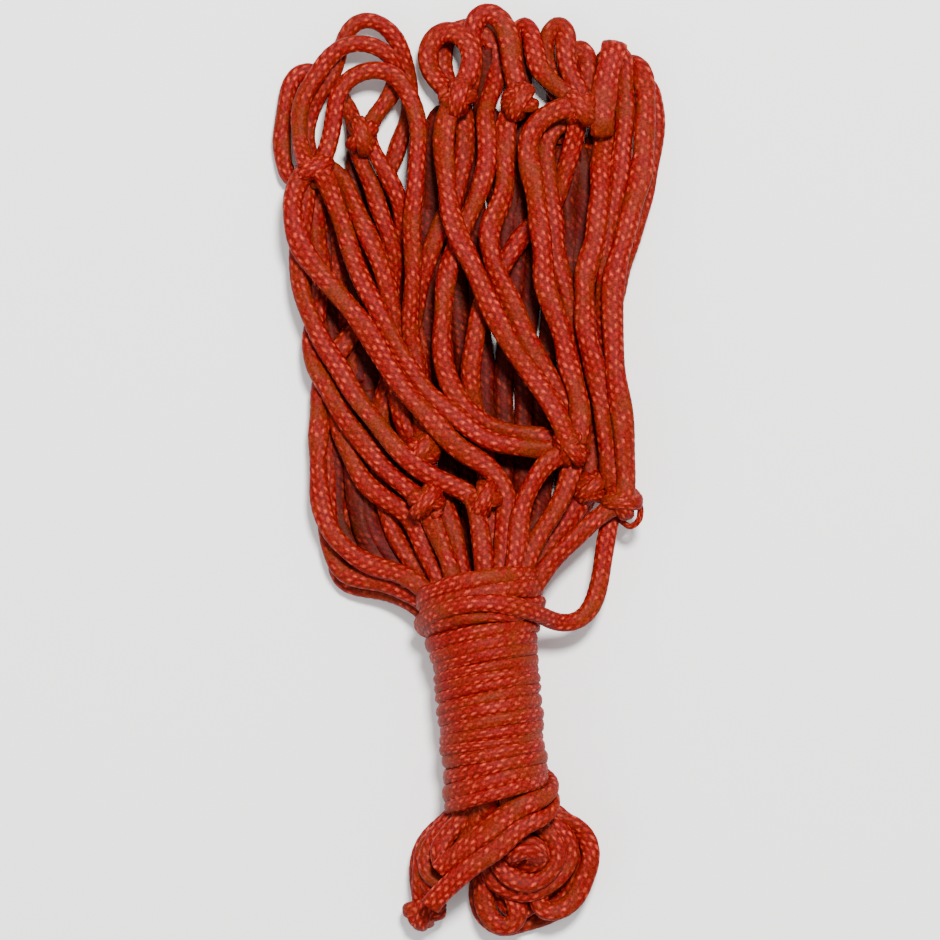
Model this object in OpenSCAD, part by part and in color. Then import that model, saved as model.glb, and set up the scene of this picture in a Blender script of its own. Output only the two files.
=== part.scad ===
// A knotted rope net, folded lengthwise into a bundle and bound at the neck with its own draw cord.
// The bundle lies flat: X across it, Y along it (the open fan of meshes at +Y), Z up from the surface.
// Every net cord is swept along its own route. A route's third number counts layers of cord up from
// the surface, so that cords which cross lie over and under each other without meeting.

/* [Cord] */
// Thickness of the flattened hollow braid, as a round section of the same area (mm)
cord_d = 4.4; // [3.6:0.1:4.4]
// Height from one layer of cord to the next (mm)
layer_h = 4.5; // [4.5:0.1:4.8]
// Facets round a cord
cord_sides = 8; // [8:1:12]

/* [Neck] */
// Outside radius of the draw cord's winding (mm)
wrap_r = 13.4; // [13:0.1:13.6]
// Radial thickness of the winding (mm)
wrap_t = 3; // [2.6:0.1:3.2]
// Length of the winding (mm)
wrap_len = 52; // [50:0.5:52.5]
// Number of turns that show on the winding
wrap_turns = 19; // [14:1:20]
// Depth of the groove between two turns (mm)
groove_depth = 0.7; // [0.3:0.1:1]

/* [Knots] */
// Radius of a mesh knot (mm)
knot_r = 4.2; // [3.6:0.1:4.6]
// Height of a mesh knot as a share of its width
knot_flat = 0.85; // [0.7:0.05:1]

/* [Hidden] */
net_red = "#b8321d";
deep_red = "#96251a";
// The neck's axis leans a little to the right on its way down
neck_top = [2, -28.5, 13.4];
neck_lean = 5.3;
// Clear radius round the hinge at the top of the neck, which holds only the packed throat of cords
throat_r = 15.8;
hinge_top = [2.5, -30, 0];

// Routes of the net's cords, [x, y, layer]
FAN = [
    ["arc_loop_outer", [
        [-40, 79, 0.8], [-41, 84, 0.6], [-40.5, 89, 0.6], [-38, 94, 0.7], [-35, 98, 0.9],
        [-33.5, 103, 1], [-32, 108, 1], [-29.5, 112, 1], [-26, 113.5, 1], [-22, 112.5, 1],
        [-19, 109.5, 1], [-17, 105, 0.7], [-15.5, 100, 0], [-15, 94, 0], [-16, 88, 0.1],
        [-17.5, 83, 0.3], [-19.5, 77, 0.6], [-22, 71, 0.8]]],
    ["arc_loop_middle", [
        [-42, 79, 1.6], [-43, 85, 1.7], [-42.5, 91, 1.8], [-40, 97, 1.9], [-36.5, 102, 2],
        [-32, 106, 2], [-27, 107.5, 2], [-22.5, 106, 2], [-19.5, 103, 1.7], [-18, 99.5, 0.9],
        [-19, 95, 0.9], [-22, 91, 1], [-25, 87.5, 1.5], [-26, 83.5, 1.9], [-24.5, 80, 2.2],
        [-22, 76.5, 2.4], [-19.5, 72, 2.4], [-17.5, 67, 2.2], [-17, 62, 1.8], [-16.5, 56, 1.1],
        [-15.5, 50, 0.5], [-14.5, 43, 0.3], [-13.5, 36, 0.2], [-12, 30, 0.4], [-11.5, 23, 0.6],
        [-12, 15, 0.9], [-12, 8.5, 1.5]]],
    ["arc_loop_inner", [
        [-36, 79, 2], [-34.5, 84, 2], [-34, 90, 2], [-33, 95, 2], [-29.5, 99, 2], [-24, 100.5, 2],
        [-19, 99, 2], [-15.5, 95, 2.2], [-13.5, 90, 2.4], [-13, 84, 2.6], [-13, 78, 2.8],
        [-13.5, 73, 3], [-14, 68, 3], [-14.5, 62, 3], [-14.5, 56, 3], [-14, 50, 2.8],
        [-14.5, 44, 2.6], [-15, 38, 2.4], [-14.5, 32, 2], [-13.5, 26, 1.9], [-12.5, 20, 1.9],
        [-12, 14, 2], [-12, 8.5, 2.4], [-11.5, 2.5, 2.3], [-8.5, -3.5, 2.2], [-6, -9, 2.3],
        [-4.5, -14, 2.6]]],
    ["edge_loop_left", [
        [-45.5, 72, 1], [-47, 78, 0.6], [-47, 87, 0.5], [-46.5, 94, 0.5], [-44.5, 99, 0.5],
        [-41.5, 101, 0.3], [-38, 100, 0.1], [-35, 97, 0], [-32, 93, 0.1], [-29.5, 89, 0.5],
        [-29, 85, 1], [-28.5, 81, 1.4], [-27, 76.5, 1.7], [-25, 72, 1.9], [-23.5, 68, 2],
        [-21.5, 62, 2], [-20, 57, 1.9], [-18.5, 52, 1.5], [-19, 46, 0.9], [-20, 40, 0.5],
        [-21, 33, 0.2], [-21.5, 25, 0.1], [-21, 17, 0.1], [-20, 8, 0.1], [-18.5, -1, 0.2],
        [-16, -9, 0.5], [-12.5, -16.5, 1.1]]],
    ["top_loop_1", [
        [-7, 96, 1.2], [-9, 98, 1.1], [-10.8, 101.5, 1.2], [-10.5, 106, 1.3], [-8.5, 109.5, 1.4],
        [-4.5, 110.5, 1.6], [-0.5, 108, 1.9], [1, 103.5, 2.1], [-0.5, 98.5, 2.2], [-3.5, 94.5, 2.3],
        [-5.5, 89, 2.5], [-6.5, 83, 2.7], [-6.5, 77, 2.9], [-6, 71, 3], [-5, 65, 3.3], [-3, 59, 3.5],
        [0, 52, 3.6], [3, 45, 3.6], [6.5, 38, 3.6], [10, 31.5, 3.6], [14, 25.5, 3.5], [18, 20, 3.4],
        [21.5, 14.5, 3.4], [24, 9, 3.4]]],
    ["top_loop_2", [
        [-7, 104, 0], [-7, 108, 0], [-4, 111, 0], [0, 112, 0], [4, 110.5, 0], [6.5, 106, 0.1],
        [7, 100, 0.4], [5.5, 94, 1], [3.5, 89.5, 1.7], [4, 84, 2.2], [4.5, 78, 2.4],
        [3, 71, 2.5], [0.5, 65, 2.4], [-2, 60, 2.4], [-4, 55, 2.4], [-5.5, 50, 2.5],
        [-6.5, 44, 2.7], [-7, 38, 2.8], [-7, 32, 2.9], [-6.5, 26, 2.9], [-5, 21, 2.9],
        [-2.5, 17, 2.8], [1.5, 13, 2.5], [6.5, 10, 2.3], [13, 8.5, 2.2], [19.5, 8, 2.4]]],
    ["top_loop_3", [
        [0, 98, 0.9], [0.5, 104, 0.9], [0.5, 110, 1], [1.5, 114, 1], [4.5, 115.5, 1],
        [7.5, 114, 1.1], [9.5, 110, 1.3], [10.5, 105, 1.5], [11, 100, 1.7], [12, 95, 1.9],
        [10, 89.5, 1.8], [8.5, 84, 1.9], [8.5, 78, 2.1], [9, 72, 2.3], [7.5, 66, 2.5],
        [5, 61, 2.7], [4.5, 56, 2.9], [6, 51, 3], [8.5, 45, 3], [12, 38, 3], [15, 31.5, 2.9],
        [18, 26, 2.8], [21.5, 20, 2.6], [24.5, 12, 2.7]]],
    ["top_loop_4", [
        [10.5, 99, 0.6], [11, 105, 0.4], [11.5, 110, 0.3], [13.5, 113, 0.5], [15.5, 110, 1],
        [16, 105, 1.4], [17, 100.5, 1.8], [20.5, 97, 2], [24.5, 94.5, 2.1], [27, 90, 2],
        [26.5, 85, 1.6], [25.5, 80, 1.5], [23.5, 73, 1.2], [21, 67, 0.9], [17, 62.5, 1],
        [13, 58.5, 1.5], [9.5, 53.5, 1.9], [6.5, 48.5, 1.9], [4, 43.5, 2], [2, 38, 2.2],
        [1, 32, 2.4], [0, 26, 2.4], [0.5, 20, 2.1], [1.5, 14, 1.5], [3, 8, 1.6], [4, 2, 2],
        [4.5, -3, 2.2], [4.5, -8, 2.7], [5.5, -12.5, 3]]],
    ["top_loop_5", [
        [20.5, 97.5, 0.7], [18.5, 103, 0.5], [19, 108, 0.6], [21, 112, 0.9], [23.5, 112.5, 1.1],
        [24.5, 108.5, 1.3], [24, 103.5, 1.5], [25, 98.5, 1.6], [27.5, 94.5, 1.8]]],
    ["top_loop_6", [
        [25.5, 99, 0], [25, 104, 0], [27, 107, 0.1], [29.5, 105, 0.3], [30, 101, 0.5],
        [29.5, 97, 0.8], [28.5, 93.5, 1.3]]],
    ["folded_loop_right", [
        [33.5, 86, 0.2], [34, 92, 0.2], [34.5, 98, 0.3], [36, 104.5, 1], [36.5, 107.8, 1.75],
        [36, 105.5, 2.4], [34.5, 100, 2.5], [33.5, 94, 2.4], [33, 88, 2.4], [33, 84.5, 2.3]]],
    ["right_run_1", [
        [33.5, 80, 1.2], [32.5, 74, 2.1], [32.5, 66, 2.7], [31.5, 59, 2.9], [29.5, 52, 3],
        [28.5, 45, 3], [28.5, 38, 3], [29.5, 32, 2.9], [31, 26, 2.8], [32.5, 20, 2.8],
        [33.5, 13, 2.8], [34.5, 6, 2.8], [35, 0, 2.8], [36, -5, 2.7]]],
    ["right_run_2", [
        [38.5, 104, 1], [39, 98, 1], [39, 90, 1.3], [38.5, 82, 1.7], [37.5, 74, 2], [36, 67, 2],
        [35, 60, 2], [34.5, 53, 2.1], [34, 46, 2.2], [33.5, 39, 2.1], [33.5, 32, 2], [34, 25, 1.8],
        [35, 18, 1.8], [36, 11, 1.8], [37, 4, 1.7], [37.5, -3, 1.7]]],
    ["right_run_3", [
        [38.5, 103, 0], [42, 101.5, 0.9], [43.5, 98, 1.2], [44, 92, 1.4], [44, 86, 1.8],
        [43.5, 79, 2.1], [42, 71.5, 2.4], [40.5, 65, 2.7], [38.5, 58, 3], [36.5, 51, 3.2],
        [35.5, 44, 3.2], [35.5, 37, 3.2], [36, 30, 3.2], [36.5, 23, 3.4], [37.5, 16, 3.4],
        [38.5, 9, 3.3], [39, 2, 3.1], [39, -4, 2.9]]],
    ["right_run_4", [
        [23.5, 91, 2.4], [18, 88.5, 2.4], [15, 84, 2.5], [14.5, 78, 2.6], [15.5, 72, 2.8],
        [17, 66, 3], [17.5, 60, 3.1], [18, 54, 3.2], [18.5, 48, 3.2], [20, 42, 3.2],
        [22, 36, 3.2], [24, 30, 3.2], [25.5, 24, 3.1], [27, 18, 3.1], [27.5, 12, 3.2],
        [26.5, 7.5, 3.2]]],
    ["right_run_5", [
        [24.5, 88, 1.2], [20.5, 86, 1.4], [18.5, 80, 1.5], [19, 74, 1.6], [20.5, 68, 1.9],
        [21, 62, 2.1], [21.5, 56, 2.1], [22.5, 50, 2.2], [24, 44, 2.2], [26, 37, 2.1],
        [28, 31, 1.9], [29.5, 25, 1.5], [30.5, 18, 1.2], [31, 10, 1.1], [31, 3, 1.3],
        [29.5, -4, 1.6], [26.5, -10, 1.8], [22.5, -15.5, 2], [19, -19, 2.2]]],
    ["right_run_6", [
        [42, 99, 0], [45.5, 97, 0], [46, 93, 0], [47, 88.5, 0], [46.5, 83, 0.1], [45, 76, 0.5],
        [43.5, 69, 1], [42, 62, 1.3], [39.5, 55, 1.3], [37, 48, 1.2], [35.5, 39, 0.9],
        [35, 30, 0.5], [34.5, 20, 0.3], [34, 10, 0.3], [33, 1, 0.4], [30, -6, 0.5],
        [25.5, -13, 0.8], [20.5, -19.5, 1.1]]],
    ["left_run_1", [
        [-43, 72, 2], [-44.5, 66, 2.5], [-44, 60, 3], [-42, 55, 3], [-38, 50, 3], [-33, 44, 3],
        [-28, 38, 3], [-23.5, 31, 3.1], [-18.5, 23, 3.4], [-13.5, 16.5, 3.5], [-8, 10.5, 3.5],
        [-2, 5, 3.3], [4, 1, 3.1], [8.5, -4, 3.1], [9.5, -8, 3.2], [9, -13, 3.4]]],
    ["left_run_2", [
        [-40.5, 71, 1.2], [-42, 62, 1.7], [-43, 54, 2], [-42.5, 47, 2], [-40, 38, 2.2],
        [-36.5, 31, 2.3], [-33, 26, 2.3], [-28.5, 18.5, 2.5], [-24.5, 13, 2.7], [-20.5, 8, 3],
        [-16.5, 3.5, 3.2], [-12.5, 0, 3.4], [-8, -2.5, 3.5], [-3, -4.5, 3.5], [1, -6.5, 3.4],
        [2, -10, 3.6], [2.5, -13, 3.8]]],
    ["left_run_3", [
        [-38, 71, 0.9], [-38.5, 62, 1], [-38, 55, 1], [-37, 48, 0.9], [-38, 41, 1],
        [-40, 34, 1.2], [-39, 27, 1.4], [-36, 21, 1.6], [-33, 15.5, 1.8], [-29.5, 10, 2],
        [-26, 5.5, 2], [-22, 1, 2.2], [-18, -2.5, 2.4], [-14.5, -5.5, 2.6], [-11, -8.5, 2.9],
        [-9.5, -12.5, 3.2], [-8, -16, 3.3]]],
    ["left_run_4", [
        [-33, 30, 0.8], [-36, 24, 0.6], [-37.5, 18, 0.9], [-38, 11, 1.2], [-38, 4, 1.4],
        [-38, -3, 1.6], [-37, -10, 1.8], [-34.5, -16.5, 2], [-30, -21, 2], [-24, -24, 2.3],
        [-18.5, -25.5, 2.6], [-15.5, -26.5, 2.8]]],
    ["left_run_5", [
        [-36, 14, 0.2], [-35.5, 5, 0.2], [-35.5, -4, 0.4], [-36, -13, 0.7], [-35, -20, 0.9],
        [-32, -26, 1.1], [-26, -27.5, 1.3], [-20, -28.5, 1.6], [-16.5, -30, 1.9]]],
    ["left_run_6", [
        [-36, 66, 0], [-34, 56, 0], [-32.5, 46, 0], [-31.5, 36, 0], [-30.5, 26, 0], [-30, 16, 0],
        [-29.5, 6, 0], [-29.5, -4, 0], [-31, -13, 0], [-33.5, -21, 0], [-33, -27, 0.1],
        [-28, -29.5, 0.3], [-22, -30.5, 0.6], [-17, -32, 0.9]]],
    ["left_run_7", [
        [-34, 20, 0.7], [-33, 12, 1.1], [-31, 6, 1.1], [-28.5, 0, 1.4], [-25, -4.5, 1.9],
        [-20.5, -8, 2.2], [-16, -11, 2.3], [-13, -14.5, 2.4], [-11.5, -19, 2.4]]],
    ["middle_run_1", [
        [-35.5, 72, 2.2], [-33.5, 66, 2.2], [-31.5, 60, 2.2], [-29.5, 54, 2.3], [-27.5, 49, 2.5],
        [-25.5, 44, 2.7], [-22.5, 38.5, 2.9], [-20, 33.5, 3], [-17, 28.5, 3], [-13.5, 23, 2.9],
        [-9.5, 18, 2.9], [-5, 14.5, 3], [0, 10.5, 3.2], [6, 7, 3.2], [12.5, 5.5, 3.1], [19, 5, 3.1]]],
    ["middle_run_2", [
        [-32.5, 74, 1.4], [-30, 68, 1.9], [-27.5, 63, 2.3], [-25.5, 59, 2.5], [-23.5, 54, 2.6],
        [-21.5, 49, 2.6], [-20, 44, 2.4], [-19.5, 39, 2.1], [-19.5, 34, 2], [-19, 28, 2],
        [-18.5, 22, 2.1], [-17.5, 15, 2], [-15.5, 9, 2]]],
    ["middle_run_3", [
        [-1, 84, 1], [-1.5, 77, 1.2], [-3, 70.5, 1.5], [-5.5, 64.5, 2], [-8.5, 58.5, 2.3],
        [-10.5, 53, 2.1], [-12.5, 47, 1.7], [-13.5, 41, 1.4], [-15, 35.5, 1.2], [-17.5, 29, 1.1],
        [-20.5, 22, 1.1], [-23, 14, 1.1], [-23.5, 6, 1.1], [-22.5, -2, 1.1], [-21, -10, 1.2],
        [-18.5, -17, 1.4], [-16.5, -20, 1.6]]],
    ["back_run_1", [
        [-29, 78, 0], [-28, 70, 0.2], [-27, 62, 0.2], [-26, 54, 0.2], [-25.5, 46, 0.2],
        [-25.5, 38, 0.1], [-25.5, 30, 0], [-25.5, 22, 0], [-25.3, 14, 0], [-24.5, 6, 0],
        [-24, -2, 0], [-22.5, -10, 0], [-18.5, -18.5, 0.3]]],
    ["back_run_2", [
        [-4.5, -14.5, 1.3], [-5, -8, 0.9], [-5.5, 0, 0.3], [-5.5, 10, 0], [-5.5, 20, 0],
        [-6.5, 30, 0], [-7.5, 40, 0], [-8.5, 50, 0], [-9, 60, 0], [-9.5, 70, 0], [-9.5, 80, 0],
        [-9, 88, 0], [-6.5, 91.5, 0], [-4, 88, 0], [-4, 80, 0], [-4, 70, 0], [-4, 60, 0],
        [-3.5, 50, 0], [-2.5, 40, 0], [-1.5, 30, 0], [-0.5, 20, 0], [-0.5, 10, 0], [-0.5, 1, 0.2],
        [0, -6, 0.8], [0.5, -14, 1.5]]],
    ["back_run_3", [
        [7.2, -12, 1.6], [8.2, -6, 1], [8.3, 2, 0.4], [8.5, 11, 0], [8.5, 20, 0], [9, 29, 0],
        [10, 38, 0], [11, 46, 0], [12, 56, 0], [12, 64, 0], [12, 72, 0], [12, 80, 0], [12.5, 86, 0],
        [13.7, 89.5, 0], [15.5, 90.5, 0], [17, 88.5, 0], [17.8, 84, 0], [17.8, 78, 0], [17.5, 70, 0],
        [17, 60, 0], [16, 50, 0], [15, 40, 0], [14, 30, 0], [13.7, 20, 0], [13.5, 10, 0],
        [13.5, 1, 0.2], [13.4, -6, 0.9], [12.6, -12, 1.9]]],
    ["back_run_4", [
        [16.5, -14, 1.9], [18, -7, 1], [18.5, 1, 0.3], [18.5, 10, 0], [18.5, 19, 0], [19, 27, 0],
        [20, 35, 0], [21, 43, 0], [22, 51, 0], [22.5, 60, 0], [22.5, 68, 0], [22.5, 76, 0],
        [24, 82, 0], [27, 82, 0], [28.5, 76, 0], [28.5, 68, 0], [28, 60, 0], [27.5, 51, 0],
        [26.5, 43, 0], [25.5, 35, 0], [24.5, 27, 0], [24, 19, 0], [24, 10, 0], [24, 2, 0],
        [24, -4, 0.3]]],
    ["back_run_5", [
        [5, -13.5, 0.6], [4.5, -6, 0.1], [4, 2, 0], [4, 10, 0], [3.5, 20, 0], [3, 30, 0],
        [2.3, 40, 0], [1.8, 50, 0], [1.3, 60, 0], [1, 70, 0], [1, 80, 0], [1.4, 86, 0],
        [2.5, 89.5, 0], [4.3, 90.7, 0], [6, 89, 0], [7, 84.5, 0], [7.2, 78, 0], [7.2, 70, 0],
        [6.8, 60, 0], [6.5, 50, 0], [6.3, 43, 0.9]]],
    ["neck_leg_1", [
        [22.5, 4, 3.4], [18.5, 1.5, 3.6], [15.5, -3, 3.7], [13.5, -8, 3.8], [12, -13, 3.9]]],
    ["neck_leg_2", [
        [25.5, 1.5, 3.1], [24.5, -3, 3.2], [21.5, -9.5, 3.4], [17, -16.5, 3.4]]],
    ["neck_leg_3", [
        [36, -8.5, 2.9], [33, -11, 3], [28.5, -14.5, 3.1], [24.5, -18.5, 3.2], [20.5, -22.5, 3.2]]],
    ["draw_cord_bight", [
        [35.5, -11, 2.2], [34.5, -16.5, 2.2], [33, -22.5, 2.1], [32.5, -28, 2], [31.5, -33, 2],
        [28.5, -37, 2.1], [24.5, -38.5, 2.3], [21, -38, 2.5]]]
];

// Knots of the meshes, [name, [x, y, layer]]
KNOTS = [
    ["knot_upper_1", [-39, 75.5, 1.6]],
    ["knot_upper_2", [-27, 83.5, 1.7]],
    ["knot_upper_3", [-3, 93, 2.1]],
    ["knot_upper_4", [12.5, 92, 1.9]],
    ["knot_upper_5", [27.5, 90.5, 1.9]],
    ["knot_lower_1", [-12, 5, 2.1]],
    ["knot_lower_2", [-11, -8, 2.9]],
    ["knot_lower_3", [3.5, -7.5, 3]],
    ["knot_lower_4", [25, 5.5, 3.1]],
    ["knot_lower_5", [38, -8, 2.5]],
    ["knot_lower_6", [30.5, -4.5, 1.4]]
];

// Routes of the loops that come out of the foot of the neck, [x, y, layer]
BASE = [
    ["base_ring_outer", [
        [10.5, -86.5, 3], [7.5, -91, 3], [6.5, -96.5, 3], [8.5, -101, 3], [13, -103, 3],
        [18, -102, 3], [21.5, -98.5, 3], [22, -94, 3], [19.5, -90.5, 3], [16, -88, 3]]],
    ["base_ring_inner", [
        [11, -94.5, 3.5], [14.5, -92.7, 3.5], [18, -94.5, 3.5], [17.8, -98, 3.5], [14.2, -99, 3.4],
        [12.2, -98.7, 2.5]]],
    ["base_loop_right", [
        [20.5, -86.5, 2.3], [26, -88.5, 2.2], [30, -93, 2.1], [30.7, -98, 2], [28.5, -102.5, 2],
        [27, -107, 1.9], [23, -110.3, 1.8], [18.5, -111, 1.9], [16.5, -108.5, 2.3],
        [17.5, -105.8, 2.7]]],
    ["base_loop_low_right", [
        [19, -88, 1.2], [24, -91, 1.2], [26.5, -96, 1.2], [25.5, -101.5, 1.1], [22.5, -106.3, 1],
        [17.5, -108.5, 0.9], [12.5, -108.5, 0.9], [8, -106, 0.9], [7.5, -101.5, 1],
        [9.5, -97.5, 1.1], [14, -97, 1.1]]],
    ["base_loop_bottom", [
        [5, -89, 2], [3, -95, 2], [3.5, -101, 1.9], [3, -107, 1.8], [4.8, -112.5, 1.8],
        [9, -115.3, 1.8], [12.5, -112.5, 1.9], [12, -108, 2.1], [10.5, -105, 2.2]]],
    ["base_loop_left", [
        [-2, -86.5, 2.8], [-6.5, -90, 2.7], [-10, -94, 2.6], [-11.5, -98.5, 2.6],
        [-9.5, -102.5, 2.7], [-5, -103, 2.8], [-1.5, -100.5, 2.9], [-1.5, -97, 3], [-4, -95.3, 3],
        [-6.3, -96.5, 3]]],
    ["base_loop_low_left", [
        [-4, -86.5, 1.5], [-9, -91, 1.3], [-12.5, -96, 1.2], [-13.5, -101, 1], [-12.5, -106, 0.9],
        [-11.5, -109, 0.8]]],
    ["base_loop_back", [
        [14, -87, 0.2], [19.5, -90.5, 0], [23, -96, 0], [21.5, -102, 0], [16.5, -104.5, 0],
        [10.5, -103.5, 0], [5.5, -102, 0], [0.5, -99, 0], [-4.5, -97.5, 0], [-6.5, -93, 0.2],
        [-4.5, -87.5, 0.5]]]
];
BASE_KNOT = ["base_knot", [-11.5, -110.5, 0.8]];

// The draw cord's two ends lie side by side across the loops at the foot, [x, y, layer]
TAILS = [
    ["draw_cord_end_1", [
        [18, -85.3, 4.7], [12, -89.2, 4.7], [6, -93.6, 4.6], [0, -98.3, 4.3], [-5, -102.7, 4.1],
        [-8, -106.5, 4]]],
    ["draw_cord_end_2", [
        [12.5, -83.5, 4.7], [8, -86.8, 4.7], [3.5, -90.2, 4.6], [-0.5, -93.6, 4.4],
        [-4.5, -97.2, 4.2]]]
];

function names(list) = [for (item = list) item[0]];

// Height of a layer's centreline above the surface
function layer_z(n) = cord_d / 2 + n * layer_h;
function placed(p) = [p.x, p.y, layer_z(p.z)];
function unit(v) = v / norm(v);
// Direction of travel at ring i of a route
function heading(route, i) =
    unit(route[min(i + 1, len(route) - 1)] - route[max(i - 1, 0)]);
// One ring of the sweep, square to the route
function ring(route, i, r) =
    let (t = heading(route, i), side = unit(cross(t, [0, 0, 1])), up = cross(side, t))
    [for (k = [0 : cord_sides - 1])
        let (a = 360 * k / cord_sides)
        route[i] + r * (cos(a) * side + sin(a) * up)];

// A cord swept along a route as one closed solid
module cord_along(route, r) {
    rings = len(route);
    points = [for (i = [0 : rings - 1]) each ring(route, i, r)];
    walls = [for (i = [0 : rings - 2], k = [0 : cord_sides - 1])
        let (a = i * cord_sides + k, b = i * cord_sides + (k + 1) % cord_sides)
        each [[a, a + cord_sides, b], [b, a + cord_sides, b + cord_sides]]];
    first_cap = [for (k = [0 : cord_sides - 1]) k];
    last_cap = [for (k = [cord_sides - 1 : -1 : 0]) (rings - 1) * cord_sides + k];
    polyhedron(points, concat([first_cap], walls, [last_cap]));
}

module net_cord(item, shade) {
    color(shade)
        cord_along([for (p = item[1]) placed(p)], cord_d / 2);
}

module knot(item, r) {
    color(deep_red)
        translate(placed(item[1]))
            scale([1, 1, knot_flat])
                sphere(r, $fn = 12);
}

// Puts its children on the neck's axis, which starts at the top of the winding and runs down it
module on_neck() {
    translate(neck_top)
        rotate([0, 0, neck_lean])
            rotate([90, 0, 0])
                children();
}

// The draw cord's turns round the neck, as one sleeve with a groove between each two turns
module draw_cord_winding() {
    turn = wrap_len / wrap_turns;
    crests = [for (i = [0 : wrap_turns - 1]) each [
        [wrap_r - groove_depth, i * turn],
        [wrap_r, (i + 0.5) * turn]]];
    color(net_red)
        on_neck()
            rotate_extrude($fn = 48)
                polygon(concat([[wrap_r - wrap_t, 0]], crests,
                    [[wrap_r - groove_depth, wrap_len], [wrap_r - wrap_t, wrap_len]]));
}

// The net's cords packed tight inside the winding, with the throat where they spread into the fan
module packed_net_core() {
    core_r = wrap_r - wrap_t - 0.1;
    color(deep_red) {
        on_neck()
            cylinder(h = wrap_len, r = core_r, $fn = 48);
        hull() {
            on_neck()
                translate([0, 0, -0.8])
                    cylinder(h = 1.2, r = core_r - 0.2, $fn = 24);
            translate([hinge_top.x, hinge_top.y + throat_r - 7.5, 13.2])
                scale([1.2, 0.7, 1])
                    sphere(9.5, $fn = 12);
        }
    }
}

for (item = FAN) net_cord(item, net_red);
for (item = KNOTS) knot(item, knot_r);
for (item = BASE) net_cord(item, net_red);
knot(BASE_KNOT, knot_r * 0.9);
for (item = TAILS) net_cord(item, net_red);
draw_cord_winding();
packed_net_core();
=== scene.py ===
"""A knotted rope net, folded into a bundle and bound at the neck with its own draw cord.

Cords are laid along listed routes, settled on each other and on the floor by a small
relaxation, and swept with the relief of a hollow braid. Routes are in millimetres, with the third
number in layers of cord, and are turned into metres when a mesh is made.
"""
import math

import bpy
import numpy as np
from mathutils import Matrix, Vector


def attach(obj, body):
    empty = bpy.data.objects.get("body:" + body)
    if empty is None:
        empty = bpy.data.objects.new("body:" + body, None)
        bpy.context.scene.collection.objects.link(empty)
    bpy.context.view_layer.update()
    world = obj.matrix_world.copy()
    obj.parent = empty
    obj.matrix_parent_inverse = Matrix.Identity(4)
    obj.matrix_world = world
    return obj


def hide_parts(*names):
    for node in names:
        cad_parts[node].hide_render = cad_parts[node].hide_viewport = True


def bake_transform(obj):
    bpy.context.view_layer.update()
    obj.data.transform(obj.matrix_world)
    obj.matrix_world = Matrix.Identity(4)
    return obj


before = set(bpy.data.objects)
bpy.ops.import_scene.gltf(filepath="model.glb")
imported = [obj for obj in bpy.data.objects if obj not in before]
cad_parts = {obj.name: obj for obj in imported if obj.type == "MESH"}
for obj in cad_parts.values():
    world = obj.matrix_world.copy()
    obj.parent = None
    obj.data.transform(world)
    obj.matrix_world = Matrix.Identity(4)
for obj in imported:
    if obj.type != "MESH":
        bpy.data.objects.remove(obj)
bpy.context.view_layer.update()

MM = 0.001
CORD_D = 4.4        # the CAD tube
LAYER_H = 4.5
CORD_W = 4.9        # the flat braid: width and thickness
CORD_T = 3.6
NECK_TOP = np.array([2.0, -28.5, 13.4])
NECK_LEAN = math.radians(5.3)
NECK_LEN = 52.0
NECK_DIR = np.array([math.sin(NECK_LEAN), -math.cos(NECK_LEAN), 0.0])
NECK_SIDE = np.array([math.cos(NECK_LEAN), math.sin(NECK_LEAN), 0.0])
UP = np.array([0.0, 0.0, 1.0])
NECK_Y = (-26, -84)     # cords between these are held by the winding and do not settle

CAMERA_HEIGHT = 1.5     # the camera, in metres
MID_HEIGHT = 0.012      # the height in the bundle that fills the frame
VIEW_WIDTH = 0.235
SENSOR = 36.0


def layer_z(n):
    return CORD_D / 2 + n * LAYER_H


# ---------------------------------------------------------------- camera, floor and light

camera = bpy.data.objects.new("Camera", bpy.data.cameras.new("Camera"))
bpy.context.scene.collection.objects.link(camera)
camera.location = (0.0, 0.0, CAMERA_HEIGHT)
camera.rotation_euler = (0.0, 0.0, 0.0)
camera.data.sensor_width = SENSOR
camera.data.lens = SENSOR * (CAMERA_HEIGHT - MID_HEIGHT) / VIEW_WIDTH
camera.data.clip_end = 20.0
bpy.context.scene.camera = camera


def area_light(name, where, target, size, power, colour=(1, 1, 1)):
    light = bpy.data.lights.new(name, "AREA")
    light.shape = "DISK"
    light.size = size
    light.energy = power
    light.color = colour
    o = bpy.data.objects.new(name, light)
    o.location = where
    o.rotation_euler = (Vector(target) - Vector(where)).to_track_quat("-Z", "Y").to_euler()
    bpy.context.scene.collection.objects.link(o)
    return o


area_light("Key", (0.14, 0.42, 1.15), (0.0, 0.0, 0.01), 0.22, 34.0, (1.0, 0.98, 0.95))
area_light("Fill", (-0.7, -0.4, 0.8), (0.0, 0.0, 0.01), 0.8, 3.0, (0.97, 0.98, 1.0))
world = bpy.data.worlds.new("Studio")
bpy.context.scene.world = world
world.use_nodes = True
world.node_tree.nodes["Background"].inputs["Color"].default_value = (1.0, 1.0, 1.0, 1.0)
world.node_tree.nodes["Background"].inputs["Strength"].default_value = 0.72


def plain_material(name, colour, roughness):
    m = bpy.data.materials.new(name)
    m.use_nodes = True
    b = m.node_tree.nodes["Principled BSDF"]
    b.inputs["Base Color"].default_value = (*colour, 1.0)
    b.inputs["Roughness"].default_value = roughness
    return m


bpy.ops.mesh.primitive_plane_add(size=6.0, location=(0, 0, -0.0002))
floor = bpy.context.object
floor.name = "Floor"
floor.data.materials.append(plain_material("PaleFloor", (0.97, 0.97, 0.97), 0.95))

# ---------------------------------------------------------------- the cords' routes

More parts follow.
